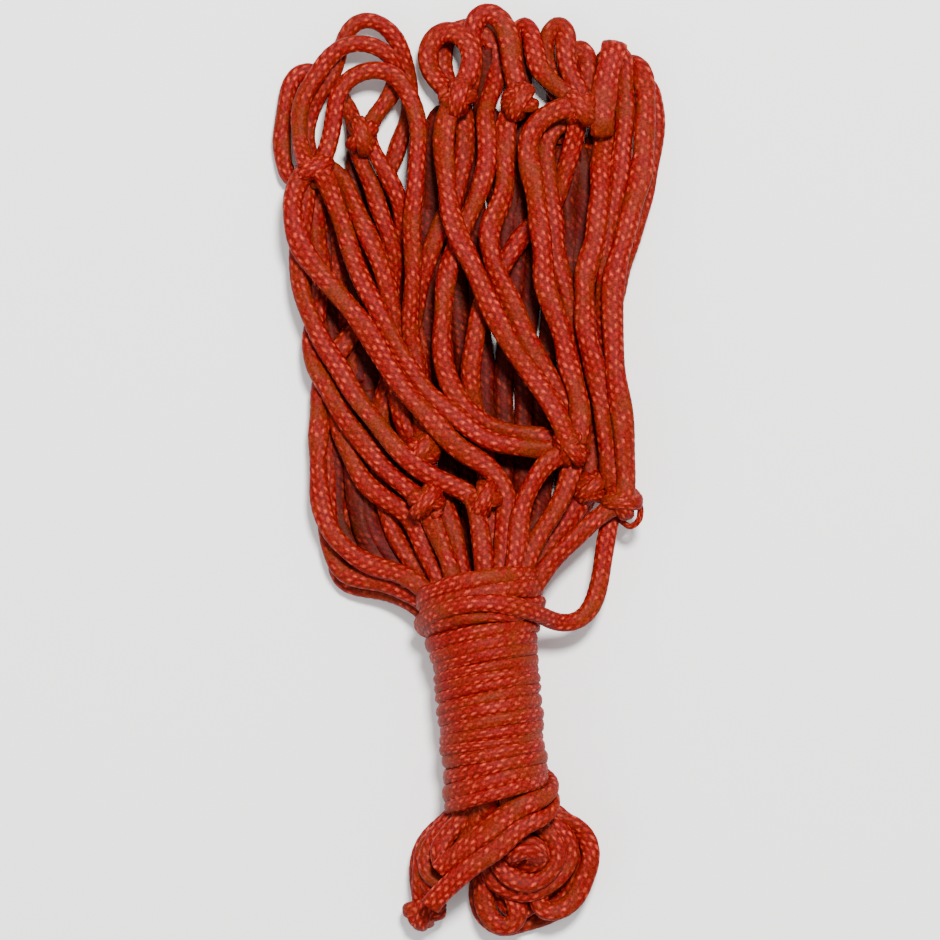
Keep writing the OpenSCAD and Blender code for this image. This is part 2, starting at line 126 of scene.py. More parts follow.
FAN = {
    "arc_loop_outer": [
        (-40, 79, 0.8), (-41, 84, 0.6), (-40.5, 89, 0.6), (-38, 94, 0.7), (-35, 98, 0.9),
        (-33.5, 103, 1), (-32, 108, 1), (-29.5, 112, 1), (-26, 113.5, 1), (-22, 112.5, 1),
        (-19, 109.5, 1), (-17, 105, 0.7), (-15.5, 100, 0), (-15, 94, 0), (-16, 88, 0.1),
        (-17.5, 83, 0.3), (-19.5, 77, 0.6), (-22, 71, 0.8)],
    "arc_loop_middle": [
        (-42, 79, 1.6), (-43, 85, 1.7), (-42.5, 91, 1.8), (-40, 97, 1.9), (-36.5, 102, 2),
        (-32, 106, 2), (-27, 107.5, 2), (-22.5, 106, 2), (-19.5, 103, 1.7), (-18, 99.5, 0.9),
        (-19, 95, 0.9), (-22, 91, 1), (-25, 87.5, 1.5), (-26, 83.5, 1.9), (-24.5, 80, 2.2),
        (-22, 76.5, 2.4), (-19.5, 72, 2.4), (-17.5, 67, 2.2), (-17, 62, 1.8), (-16.5, 56, 1.1),
        (-15.5, 50, 0.5), (-14.5, 43, 0.3), (-13.5, 36, 0.2), (-12, 30, 0.4), (-11.5, 23, 0.6),
        (-12, 15, 0.9), (-12, 8.5, 1.5)],
    "arc_loop_inner": [
        (-36, 79, 2), (-34.5, 84, 2), (-34, 90, 2), (-33, 95, 2), (-29.5, 99, 2), (-24, 100.5, 2),
        (-19, 99, 2), (-15.5, 95, 2.2), (-13.5, 90, 2.4), (-13, 84, 2.6), (-13, 78, 2.8),
        (-13.5, 73, 3), (-14, 68, 3), (-14.5, 62, 3), (-14.5, 56, 3), (-14, 50, 2.8), (-14.5, 44, 2.6),
        (-15, 38, 2.4), (-14.5, 32, 2), (-13.5, 26, 1.9), (-12.5, 20, 1.9), (-12, 14, 2),
        (-12, 8.5, 2.4), (-11.5, 2.5, 2.3), (-8.5, -3.5, 2.2), (-6, -9, 2.3), (-4.5, -14, 2.6)],
    "edge_loop_left": [
        (-45.5, 72, 1), (-47, 78, 0.6), (-47, 87, 0.5), (-46.5, 94, 0.5), (-44.5, 99, 0.5),
        (-41.5, 101, 0.3), (-38, 100, 0.1), (-35, 97, 0), (-32, 93, 0.1), (-29.5, 89, 0.5),
        (-29, 85, 1), (-28.5, 81, 1.4), (-27, 76.5, 1.7), (-25, 72, 1.9), (-23.5, 68, 2),
        (-21.5, 62, 2), (-20, 57, 1.9), (-18.5, 52, 1.5), (-19, 46, 0.9), (-20, 40, 0.5),
        (-21, 33, 0.2), (-21.5, 25, 0.1), (-21, 17, 0.1), (-20, 8, 0.1), (-18.5, -1, 0.2),
        (-16, -9, 0.5), (-12.5, -16.5, 1.1)],
    "top_loop_1": [
        (-7, 96, 1.2), (-9, 98, 1.1), (-10.8, 101.5, 1.2), (-10.5, 106, 1.3), (-8.5, 109.5, 1.4),
        (-4.5, 110.5, 1.6), (-0.5, 108, 1.9), (1, 103.5, 2.1), (-0.5, 98.5, 2.2), (-3.5, 94.5, 2.3),
        (-5.5, 89, 2.5), (-6.5, 83, 2.7), (-6.5, 77, 2.9), (-6, 71, 3), (-5, 65, 3.3), (-3, 59, 3.5),
        (0, 52, 3.6), (3, 45, 3.6), (6.5, 38, 3.6), (10, 31.5, 3.6), (14, 25.5, 3.5), (18, 20, 3.4),
        (21.5, 14.5, 3.4), (24, 9, 3.4)],
    "top_loop_2": [
        (-7, 104, 0), (-7, 108, 0), (-4, 111, 0), (0, 112, 0), (4, 110.5, 0), (6.5, 106, 0.1),
        (7, 100, 0.4), (5.5, 94, 1), (3.5, 89.5, 1.7), (4, 84, 2.2), (4.5, 78, 2.4), (3, 71, 2.5),
        (0.5, 65, 2.4), (-2, 60, 2.4), (-4, 55, 2.4), (-5.5, 50, 2.5), (-6.5, 44, 2.7), (-7, 38, 2.8),
        (-7, 32, 2.9), (-6.5, 26, 2.9), (-5, 21, 2.9), (-2.5, 17, 2.8), (1.5, 13, 2.5), (6.5, 10, 2.3),
        (13, 8.5, 2.2), (19.5, 8, 2.4)],
    "top_loop_3": [
        (0, 98, 0.9), (0.5, 104, 0.9), (0.5, 110, 1), (1.5, 114, 1), (4.5, 115.5, 1), (7.5, 114, 1.1),
        (9.5, 110, 1.3), (10.5, 105, 1.5), (11, 100, 1.7), (12, 95, 1.9), (10, 89.5, 1.8),
        (8.5, 84, 1.9), (8.5, 78, 2.1), (9, 72, 2.3), (7.5, 66, 2.5), (5, 61, 2.7), (4.5, 56, 2.9),
        (6, 51, 3), (8.5, 45, 3), (12, 38, 3), (15, 31.5, 2.9), (18, 26, 2.8), (21.5, 20, 2.6),
        (24.5, 12, 2.7)],
    "top_loop_4": [
        (10.5, 99, 0.6), (11, 105, 0.4), (11.5, 110, 0.3), (13.5, 113, 0.5), (15.5, 110, 1),
        (16, 105, 1.4), (17, 100.5, 1.8), (20.5, 97, 2), (24.5, 94.5, 2.1), (27, 90, 2),
        (26.5, 85, 1.6), (25.5, 80, 1.5), (23.5, 73, 1.2), (21, 67, 0.9), (17, 62.5, 1),
        (13, 58.5, 1.5), (9.5, 53.5, 1.9), (6.5, 48.5, 1.9), (4, 43.5, 2), (2, 38, 2.2), (1, 32, 2.4),
        (0, 26, 2.4), (0.5, 20, 2.1), (1.5, 14, 1.5), (3, 8, 1.6), (4, 2, 2), (4.5, -3, 2.2),
        (4.5, -8, 2.7), (5.5, -12.5, 3)],
    "top_loop_5": [
        (20.5, 97.5, 0.7), (18.5, 103, 0.5), (19, 108, 0.6), (21, 112, 0.9), (23.5, 112.5, 1.1),
        (24.5, 108.5, 1.3), (24, 103.5, 1.5), (25, 98.5, 1.6), (27.5, 94.5, 1.8)],
    "top_loop_6": [
        (25.5, 99, 0), (25, 104, 0), (27, 107, 0.1), (29.5, 105, 0.3), (30, 101, 0.5), (29.5, 97, 0.8),
        (28.5, 93.5, 1.3)],
    "folded_loop_right": [
        (33.5, 86, 0.2), (34, 92, 0.2), (34.5, 98, 0.3), (36, 104.5, 1), (36.5, 107.8, 1.75),
        (36, 105.5, 2.4), (34.5, 100, 2.5), (33.5, 94, 2.4), (33, 88, 2.4), (33, 84.5, 2.3)],
    "right_run_1": [
        (33.5, 80, 1.2), (32.5, 74, 2.1), (32.5, 66, 2.7), (31.5, 59, 2.9), (29.5, 52, 3),
        (28.5, 45, 3), (28.5, 38, 3), (29.5, 32, 2.9), (31, 26, 2.8), (32.5, 20, 2.8), (33.5, 13, 2.8),
        (34.5, 6, 2.8), (35, 0, 2.8), (36, -5, 2.7)],
    "right_run_2": [
        (38.5, 104, 1), (39, 98, 1), (39, 90, 1.3), (38.5, 82, 1.7), (37.5, 74, 2), (36, 67, 2),
        (35, 60, 2), (34.5, 53, 2.1), (34, 46, 2.2), (33.5, 39, 2.1), (33.5, 32, 2), (34, 25, 1.8),
        (35, 18, 1.8), (36, 11, 1.8), (37, 4, 1.7), (37.5, -3, 1.7)],
    "right_run_3": [
        (38.5, 103, 0), (42, 101.5, 0.9), (43.5, 98, 1.2), (44, 92, 1.4), (44, 86, 1.8),
        (43.5, 79, 2.1), (42, 71.5, 2.4), (40.5, 65, 2.7), (38.5, 58, 3), (36.5, 51, 3.2),
        (35.5, 44, 3.2), (35.5, 37, 3.2), (36, 30, 3.2), (36.5, 23, 3.4), (37.5, 16, 3.4),
        (38.5, 9, 3.3), (39, 2, 3.1), (39, -4, 2.9)],
    "right_run_4": [
        (23.5, 91, 2.4), (18, 88.5, 2.4), (15, 84, 2.5), (14.5, 78, 2.6), (15.5, 72, 2.8), (17, 66, 3),
        (17.5, 60, 3.1), (18, 54, 3.2), (18.5, 48, 3.2), (20, 42, 3.2), (22, 36, 3.2), (24, 30, 3.2),
        (25.5, 24, 3.1), (27, 18, 3.1), (27.5, 12, 3.2), (26.5, 7.5, 3.2)],
    "right_run_5": [
        (24.5, 88, 1.2), (20.5, 86, 1.4), (18.5, 80, 1.5), (19, 74, 1.6), (20.5, 68, 1.9),
        (21, 62, 2.1), (21.5, 56, 2.1), (22.5, 50, 2.2), (24, 44, 2.2), (26, 37, 2.1), (28, 31, 1.9),
        (29.5, 25, 1.5), (30.5, 18, 1.2), (31, 10, 1.1), (31, 3, 1.3), (29.5, -4, 1.6),
        (26.5, -10, 1.8), (22.5, -15.5, 2), (19, -19, 2.2)],
    "right_run_6": [
        (42, 99, 0), (45.5, 97, 0), (46, 93, 0), (47, 88.5, 0), (46.5, 83, 0.1), (45, 76, 0.5),
        (43.5, 69, 1), (42, 62, 1.3), (39.5, 55, 1.3), (37, 48, 1.2), (35.5, 39, 0.9), (35, 30, 0.5),
        (34.5, 20, 0.3), (34, 10, 0.3), (33, 1, 0.4), (30, -6, 0.5), (25.5, -13, 0.8),
        (20.5, -19.5, 1.1)],
    "left_run_1": [
        (-43, 72, 2), (-44.5, 66, 2.5), (-44, 60, 3), (-42, 55, 3), (-38, 50, 3), (-33, 44, 3),
        (-28, 38, 3), (-23.5, 31, 3.1), (-18.5, 23, 3.4), (-13.5, 16.5, 3.5), (-8, 10.5, 3.5),
        (-2, 5, 3.3), (4, 1, 3.1), (8.5, -4, 3.1), (9.5, -8, 3.2), (9, -13, 3.4)],
    "left_run_2": [
        (-40.5, 71, 1.2), (-42, 62, 1.7), (-43, 54, 2), (-42.5, 47, 2), (-40, 38, 2.2),
        (-36.5, 31, 2.3), (-33, 26, 2.3), (-28.5, 18.5, 2.5), (-24.5, 13, 2.7), (-20.5, 8, 3),
        (-16.5, 3.5, 3.2), (-12.5, 0, 3.4), (-8, -2.5, 3.5), (-3, -4.5, 3.5), (1, -6.5, 3.4),
        (2, -10, 3.6), (2.5, -13, 3.8)],
    "left_run_3": [
        (-38, 71, 0.9), (-38.5, 62, 1), (-38, 55, 1), (-37, 48, 0.9), (-38, 41, 1), (-40, 34, 1.2),
        (-39, 27, 1.4), (-36, 21, 1.6), (-33, 15.5, 1.8), (-29.5, 10, 2), (-26, 5.5, 2), (-22, 1, 2.2),
        (-18, -2.5, 2.4), (-14.5, -5.5, 2.6), (-11, -8.5, 2.9), (-9.5, -12.5, 3.2), (-8, -16, 3.3)],
    "left_run_4": [
        (-33, 30, 0.8), (-36, 24, 0.6), (-37.5, 18, 0.9), (-38, 11, 1.2), (-38, 4, 1.4),
        (-38, -3, 1.6), (-37, -10, 1.8), (-34.5, -16.5, 2), (-30, -21, 2), (-24, -24, 2.3),
        (-18.5, -25.5, 2.6), (-15.5, -26.5, 2.8)],
    "left_run_5": [
        (-36, 14, 0.2), (-35.5, 5, 0.2), (-35.5, -4, 0.4), (-36, -13, 0.7), (-35, -20, 0.9),
        (-32, -26, 1.1), (-26, -27.5, 1.3), (-20, -28.5, 1.6), (-16.5, -30, 1.9)],
    "left_run_6": [
        (-36, 66, 0), (-34, 56, 0), (-32.5, 46, 0), (-31.5, 36, 0), (-30.5, 26, 0), (-30, 16, 0),
        (-29.5, 6, 0), (-29.5, -4, 0), (-31, -13, 0), (-33.5, -21, 0), (-33, -27, 0.1),
        (-28, -29.5, 0.3), (-22, -30.5, 0.6), (-17, -32, 0.9)],
    "left_run_7": [
        (-34, 20, 0.7), (-33, 12, 1.1), (-31, 6, 1.1), (-28.5, 0, 1.4), (-25, -4.5, 1.9),
        (-20.5, -8, 2.2), (-16, -11, 2.3), (-13, -14.5, 2.4), (-11.5, -19, 2.4)],
    "middle_run_1": [
        (-35.5, 72, 2.2), (-33.5, 66, 2.2), (-31.5, 60, 2.2), (-29.5, 54, 2.3), (-27.5, 49, 2.5),
        (-25.5, 44, 2.7), (-22.5, 38.5, 2.9), (-20, 33.5, 3), (-17, 28.5, 3), (-13.5, 23, 2.9),
        (-9.5, 18, 2.9), (-5, 14.5, 3), (0, 10.5, 3.2), (6, 7, 3.2), (12.5, 5.5, 3.1), (19, 5, 3.1)],
    "middle_run_2": [
        (-32.5, 74, 1.4), (-30, 68, 1.9), (-27.5, 63, 2.3), (-25.5, 59, 2.5), (-23.5, 54, 2.6),
        (-21.5, 49, 2.6), (-20, 44, 2.4), (-19.5, 39, 2.1), (-19.5, 34, 2), (-19, 28, 2),
        (-18.5, 22, 2.1), (-17.5, 15, 2), (-15.5, 9, 2)],
    "middle_run_3": [
        (-1, 84, 1), (-1.5, 77, 1.2), (-3, 70.5, 1.5), (-5.5, 64.5, 2), (-8.5, 58.5, 2.3),
        (-10.5, 53, 2.1), (-12.5, 47, 1.7), (-13.5, 41, 1.4), (-15, 35.5, 1.2), (-17.5, 29, 1.1),
        (-20.5, 22, 1.1), (-23, 14, 1.1), (-23.5, 6, 1.1), (-22.5, -2, 1.1), (-21, -10, 1.2),
        (-18.5, -17, 1.4), (-16.5, -20, 1.6)],
    "back_run_1": [
        (-29, 78, 0), (-28, 70, 0.2), (-27, 62, 0.2), (-26, 54, 0.2), (-25.5, 46, 0.2),
        (-25.5, 38, 0.1), (-25.5, 30, 0), (-25.5, 22, 0), (-25.3, 14, 0), (-24.5, 6, 0), (-24, -2, 0),
        (-22.5, -10, 0), (-18.5, -18.5, 0.3)],
    "back_run_2": [
        (-4.5, -14.5, 1.3), (-5, -8, 0.9), (-5.5, 0, 0.3), (-5.5, 10, 0), (-5.5, 20, 0), (-6.5, 30, 0),
        (-7.5, 40, 0), (-8.5, 50, 0), (-9, 60, 0), (-9.5, 70, 0), (-9.5, 80, 0), (-9, 88, 0),
        (-6.5, 91.5, 0), (-4, 88, 0), (-4, 80, 0), (-4, 70, 0), (-4, 60, 0), (-3.5, 50, 0),
        (-2.5, 40, 0), (-1.5, 30, 0), (-0.5, 20, 0), (-0.5, 10, 0), (-0.5, 1, 0.2), (0, -6, 0.8),
        (0.5, -14, 1.5)],
    "back_run_3": [
        (7.2, -12, 1.6), (8.2, -6, 1), (8.3, 2, 0.4), (8.5, 11, 0), (8.5, 20, 0), (9, 29, 0),
        (10, 38, 0), (11, 46, 0), (12, 56, 0), (12, 64, 0), (12, 72, 0), (12, 80, 0), (12.5, 86, 0),
        (13.7, 89.5, 0), (15.5, 90.5, 0), (17, 88.5, 0), (17.8, 84, 0), (17.8, 78, 0), (17.5, 70, 0),
        (17, 60, 0), (16, 50, 0), (15, 40, 0), (14, 30, 0), (13.7, 20, 0), (13.5, 10, 0),
        (13.5, 1, 0.2), (13.4, -6, 0.9), (12.6, -12, 1.9)],
    "back_run_4": [
        (16.5, -14, 1.9), (18, -7, 1), (18.5, 1, 0.3), (18.5, 10, 0), (18.5, 19, 0), (19, 27, 0),
        (20, 35, 0), (21, 43, 0), (22, 51, 0), (22.5, 60, 0), (22.5, 68, 0), (22.5, 76, 0),
        (24, 82, 0), (27, 82, 0), (28.5, 76, 0), (28.5, 68, 0), (28, 60, 0), (27.5, 51, 0),
        (26.5, 43, 0), (25.5, 35, 0), (24.5, 27, 0), (24, 19, 0), (24, 10, 0), (24, 2, 0),
        (24, -4, 0.3)],
    "back_run_5": [
        (5, -13.5, 0.6), (4.5, -6, 0.1), (4, 2, 0), (4, 10, 0), (3.5, 20, 0), (3, 30, 0), (2.3, 40, 0),
        (1.8, 50, 0), (1.3, 60, 0), (1, 70, 0), (1, 80, 0), (1.4, 86, 0), (2.5, 89.5, 0),
        (4.3, 90.7, 0), (6, 89, 0), (7, 84.5, 0), (7.2, 78, 0), (7.2, 70, 0), (6.8, 60, 0),
        (6.5, 50, 0), (6.3, 43, 0.9)],
    "neck_leg_1": [
        (22.5, 4, 3.4), (18.5, 1.5, 3.6), (15.5, -3, 3.7), (13.5, -8, 3.8), (12, -13, 3.9)],
    "neck_leg_2": [
        (25.5, 1.5, 3.1), (24.5, -3, 3.2), (21.5, -9.5, 3.4), (17, -16.5, 3.4)],
    "neck_leg_3": [
        (36, -8.5, 2.9), (33, -11, 3), (28.5, -14.5, 3.1), (24.5, -18.5, 3.2), (20.5, -22.5, 3.2)],
    "draw_cord_bight": [
        (35.5, -11, 2.2), (34.5, -16.5, 2.2), (33, -22.5, 2.1), (32.5, -28, 2), (31.5, -33, 2),
        (28.5, -37, 2.1), (24.5, -38.5, 2.3), (21, -38, 2.5)],
}
BASE = {
    "base_ring_outer": [
        (10.5, -86.5, 3), (7.5, -91, 3), (6.5, -96.5, 3), (8.5, -101, 3), (13, -103, 3), (18, -102, 3),
        (21.5, -98.5, 3), (22, -94, 3), (19.5, -90.5, 3), (16, -88, 3)],
    "base_ring_inner": [
        (11, -94.5, 3.5), (14.5, -92.7, 3.5), (18, -94.5, 3.5), (17.8, -98, 3.5), (14.2, -99, 3.4),
        (12.2, -98.7, 2.5)],
    "base_loop_right": [
        (20.5, -86.5, 2.3), (26, -88.5, 2.2), (30, -93, 2.1), (30.7, -98, 2), (28.5, -102.5, 2),
        (27, -107, 1.9), (23, -110.3, 1.8), (18.5, -111, 1.9), (16.5, -108.5, 2.3),
        (17.5, -105.8, 2.7)],
    "base_loop_low_right": [
        (19, -88, 1.2), (24, -91, 1.2), (26.5, -96, 1.2), (25.5, -101.5, 1.1), (22.5, -106.3, 1),
        (17.5, -108.5, 0.9), (12.5, -108.5, 0.9), (8, -106, 0.9), (7.5, -101.5, 1), (9.5, -97.5, 1.1),
        (14, -97, 1.1)],
    "base_loop_bottom": [
        (5, -89, 2), (3, -95, 2), (3.5, -101, 1.9), (3, -107, 1.8), (4.8, -112.5, 1.8),
        (9, -115.3, 1.8), (12.5, -112.5, 1.9), (12, -108, 2.1), (10.5, -105, 2.2)],
    "base_loop_left": [
        (-2, -86.5, 2.8), (-6.5, -90, 2.7), (-10, -94, 2.6), (-11.5, -98.5, 2.6), (-9.5, -102.5, 2.7),
        (-5, -103, 2.8), (-1.5, -100.5, 2.9), (-1.5, -97, 3), (-4, -95.3, 3), (-6.3, -96.5, 3)],
    "base_loop_low_left": [
        (-4, -86.5, 1.5), (-9, -91, 1.3), (-12.5, -96, 1.2), (-13.5, -101, 1), (-12.5, -106, 0.9),
        (-11.5, -109, 0.8)],
    "base_loop_back": [
        (14, -87, 0.2), (19.5, -90.5, 0), (23, -96, 0), (21.5, -102, 0), (16.5, -104.5, 0),
        (10.5, -103.5, 0), (5.5, -102, 0), (0.5, -99, 0), (-4.5, -97.5, 0), (-6.5, -93, 0.2),
        (-4.5, -87.5, 0.5)],
}
TAILS = {
    "draw_cord_end_1": [
        (18, -85.3, 4.7), (12, -89.2, 4.7), (6, -93.6, 4.6), (0, -98.3, 4.3), (-5, -102.7, 4.1),
        (-8, -106.5, 4)],
    "draw_cord_end_2": [
        (12.5, -83.5, 4.7), (8, -86.8, 4.7), (3.5, -90.2, 4.6), (-0.5, -93.6, 4.4), (-4.5, -97.2, 4.2)],
}
KNOTS = {
    "knot_upper_1": (-39, 75.5, 1.6),
    "knot_upper_2": (-27, 83.5, 1.7),
    "knot_upper_3": (-3, 93, 2.1),
    "knot_upper_4": (12.5, 92, 1.9),
    "knot_upper_5": (27.5, 90.5, 1.9),
    "knot_lower_1": (-12, 5, 2.1),
    "knot_lower_2": (-11, -8, 2.9),
    "knot_lower_3": (3.5, -7.5, 3),
    "knot_lower_4": (25, 5.5, 3.1),
    "knot_lower_5": (38, -8, 2.5),
    "knot_lower_6": (30.5, -4.5, 1.4),
    "base_knot": (-11.5, -110.5, 0.8),
}

# Where the runs go on past their CAD ends, into the winding: (points before, points after)
LEADS = {
    "left_run_1": ([], [(8.5, -19, 3.8), (8, -26, 4.1), (7, -33, 3.8), (6.5, -42, 3)]),
    "left_run_2": ([], [(3, -19, 4.1), (3.5, -26, 4.2), (4, -33, 3.9), (4.5, -42, 3)]),
    "left_run_3": ([], [(-6.5, -20, 3.5), (-4.5, -26, 3.8), (-2.5, -33, 3.5), (-1, -42, 2.8)]),
    "left_run_4": ([], [(-12, -29, 3), (-8, -33, 3), (-4.5, -40, 2.7)]),
    "left_run_5": ([], [(-12, -32, 2.2), (-8.5, -36, 2.3), (-5, -43, 2.3)]),
    "left_run_6": ([], [(-12.5, -34, 1.3), (-8.5, -38, 1.6), (-5, -44, 1.8)]),
    "left_run_7": ([], [(-9.5, -24, 2.7), (-7, -29, 3), (-5, -36, 2.8), (-3, -43, 2.6)]),
    "middle_run_3": ([], [(-13.5, -24, 1.8), (-10, -29, 2), (-7, -35, 2.1), (-5, -42, 2.1)]),
    "neck_leg_1": ([], [(11.5, -19, 4.1), (10.5, -26, 4), (9, -33, 3.7), (8, -42, 2.9)]),
    "neck_leg_2": ([], [(14.5, -21.5, 3.6), (13, -27, 3.6), (11, -34, 3.3), (9.5, -42, 2.8)]),
    "neck_leg_3": ([], [(17.5, -26.5, 3.2), (14.5, -31, 3), (11.5, -36, 2.8), (9, -43, 2.6)]),
    "arc_loop_inner": ([], [(-3, -20, 2.9), (-1.5, -27, 3.2), (0, -34, 3.1), (1, -42, 2.6)]),
    "top_loop_4": ([], [(5.5, -19, 3.1), (5.5, -26, 3.2), (5, -34, 3), (5, -42, 2.6)]),
    "right_run_5": ([], [(16, -24, 2.3), (13, -29, 2.4), (10.5, -36, 2.4), (9, -42, 2.4)]),
    "right_run_6": ([], [(17, -25, 1.2), (13.5, -30, 1.5), (11, -36, 1.7), (9, -42, 1.8)]),
    "back_run_1": ([], [(-14, -25, 0.7), (-9.5, -31, 1.2), (-6, -37, 1.5), (-4, -42, 1.6)]),
    "back_run_2": ([(-2, -42, 1.5), (-2.5, -34, 1.3), (-3.5, -24, 1.2)],
                   [(1, -21, 1.6), (1.5, -28, 1.5), (2, -36, 1.5), (2.5, -42, 1.6)]),
    "back_run_3": ([(6, -42, 1.5), (6, -34, 1.3), (7, -24, 1.3)],
                   [(10, -20, 1.9), (9, -28, 1.8), (8, -36, 1.7), (7, -42, 1.7)]),
    "back_run_4": ([(9, -42, 1.8), (10, -33, 1.8), (13, -22, 1.8)], []),
    "back_run_5": ([(4, -42, 0.9), (4.5, -34, 0.7), (5, -24, 0.6)], []),
    "base_ring_outer": ([(8.5, -72, 2.6), (9.5, -79, 2.9)],
                        [(14.5, -83, 2.9), (13.5, -78, 2.7), (12.5, -72, 2.5)]),
    "base_ring_inner": ([(10, -72, 2.8), (10.5, -80, 3.3), (9, -88, 3.6), (9.3, -92, 3.5)],
                        [(11.6, -97, 2.1), (13.5, -96, 1.4)]),
    "base_loop_right": ([(12.5, -72, 2), (14.5, -79, 2.1), (17.5, -84, 2.3)],
                        [(18, -103.3, 1.6), (17.3, -100.5, 1)]),
    "base_loop_low_right": ([(12, -72, 1.5), (13.5, -79, 1.3), (16, -85, 1.2)], []),
    "base_loop_bottom": ([(5, -72, 2.2), (4.5, -80, 2.2), (5, -85, 2.1)], [(8.5, -103, 1.9)]),
    "base_loop_left": ([(3.5, -72, 2.8), (2.5, -79, 3), (0.5, -83.5, 2.9)],
                       [(-7.3, -99, 2.6), (-5, -99.3, 2.3)]),
    "base_loop_low_left": ([(3, -72, 1.8), (1.5, -79, 1.8), (-1.5, -83.5, 1.6)], []),
    "base_loop_back": ([(10, -72, 1.2), (11, -79, 0.8), (12.5, -84, 0.4)],
                       [(-2.5, -84, 0.7), (1, -79, 1.1), (3, -72, 1.4)]),
    "draw_cord_end_1": ([(14, -78, 0.3), (18.6, -80.8, 0.9), (20.5, -82.5, 2.2), (20, -84, 3.7)],
                        [(-9.8, -108.8, 3.8)]),
    "draw_cord_end_2": ([(14, -75, 0.3), (18.2, -77, 0.9), (19.9, -79, 2.2), (19.4, -80.6, 3.7),
                         (16.8, -81.8, 4.6)],
                        [(-7.5, -100, 4)]),
    "draw_cord_bight": ([(38, -8, 2.6)], [(18.5, -36.6, 3.5), (15, -34.9, 4.7), (9, -33.3, 5.6),
                                          (2, -32.8, 5.9),
                                          (-5, -34, 5.5), (-9.5, -36.2, 4.3), (-12, -38.3, 2.7),
                                          (-11.6, -40, 1.3), (-8, -41, 0.6)]),
}
# Ends that tuck under other cords or into a knot, where no free end would show
TUCKS = {
    "edge_loop_left": ([(-41, 74.5, 1.4)], [(-10, -22, 1.4), (-7, -29, 1.7), (-4, -38, 1.9)]),
    "arc_loop_outer": ([(-39, 75.5, 1.4)], [(-24, 64, 1.2)]),
    "arc_loop_middle": ([(-40, 75.5, 1.7)], [(-12, 5, 1.8)]),
    "arc_loop_inner": ([(-38, 75.5, 1.9)], []),
    "top_loop_1": ([(-3, 93, 1.9)], [(25, 5.5, 3.3)]),
    "top_loop_2": ([(-4.5, 95, 1), (-6.5, 99.5, 0.2)], [(25, 5.5, 2.9)]),
    "top_loop_3": ([(-2, 93.5, 1.4)], [(25, 5.5, 2.8)]),
    "top_loop_4": ([(12, 93, 1)], []),
    "top_loop_5": ([(22.5, 93.5, 1.2)], [(27.5, 90.5, 1.9)]),
    "top_loop_6": ([(27, 94, 0.8)], [(27.5, 90.5, 1.6)]),
    "right_run_1": ([(33.5, 91, 1), (33.7, 85.5, 1)], [(38, -8, 2.6)]),
    "right_run_2": ([(34.5, 101, -0.1), (36.5, 105, 0.3)], [(38, -8, 2.2)]),
    "right_run_3": ([(34, 99, 0), (36, 102, -0.1)], [(38, -8, 2.7)]),
    "right_run_4": ([(27.5, 90.5, 2.2)], [(25, 5.5, 3.1)]),
    "right_run_5": ([(27.5, 90.5, 1.6)], []),
    "right_run_6": ([(39, 96, 0)], []),
    "left_run_1": ([(-40, 75.5, 1.6)], []),
    "left_run_2": ([(-39.5, 75.5, 1.4)], []),
    "left_run_3": ([(-38.5, 75.5, 1.3)], []),
    "left_run_4": ([(-27, 38, 1.1)], []),
    "left_run_5": ([(-33, 22, 0.4)], []),
    "left_run_6": ([(-38.5, 75, 0.8)], []),
    "left_run_7": ([(-33, 29, 0.4)], []),
    "middle_run_1": ([(-38, 75.5, 1.9)], [(25, 5.5, 3)]),
    "middle_run_2": ([(-37.5, 76, 1.5)], [(-12, 5, 2.1)]),
    "middle_run_3": ([(-2.5, 93, 1.5)], []),
    "back_run_1": ([(-27.5, 83.5, 0.9)], []),
    "neck_leg_1": ([(25, 5.5, 3.2)], []),
    "neck_leg_2": ([(25.5, 5.5, 3)], []),
    "neck_leg_3": ([(38, -8, 2.6)], []),
    "folded_loop_right": ([(31.5, 80, 0.3)], [(33, 82.8, 1.9), (33.2, 84.5, 1.5), (33.2, 89, 1.3)]),
}

# Width and thickness of the flattened braid, where it is not the usual
SECTIONS = {
    "arc_loop_outer": (4.1, 3.5), "arc_loop_middle": (4.3, 3.5), "arc_loop_inner": (4.5, 3.5),
    "edge_loop_left": (4.3, 3.5), "folded_loop_right": (6.2, 2.8), "top_loop_1": (5.2, 3.5),
    "top_loop_3": (5.3, 3.5), "draw_cord_bight": (4.6, 3.6), "right_run_1": (5.4, 3.6),
    "right_run_3": (5.4, 3.6), "right_run_4": (5.3, 3.6), "left_run_1": (5.3, 3.6)}

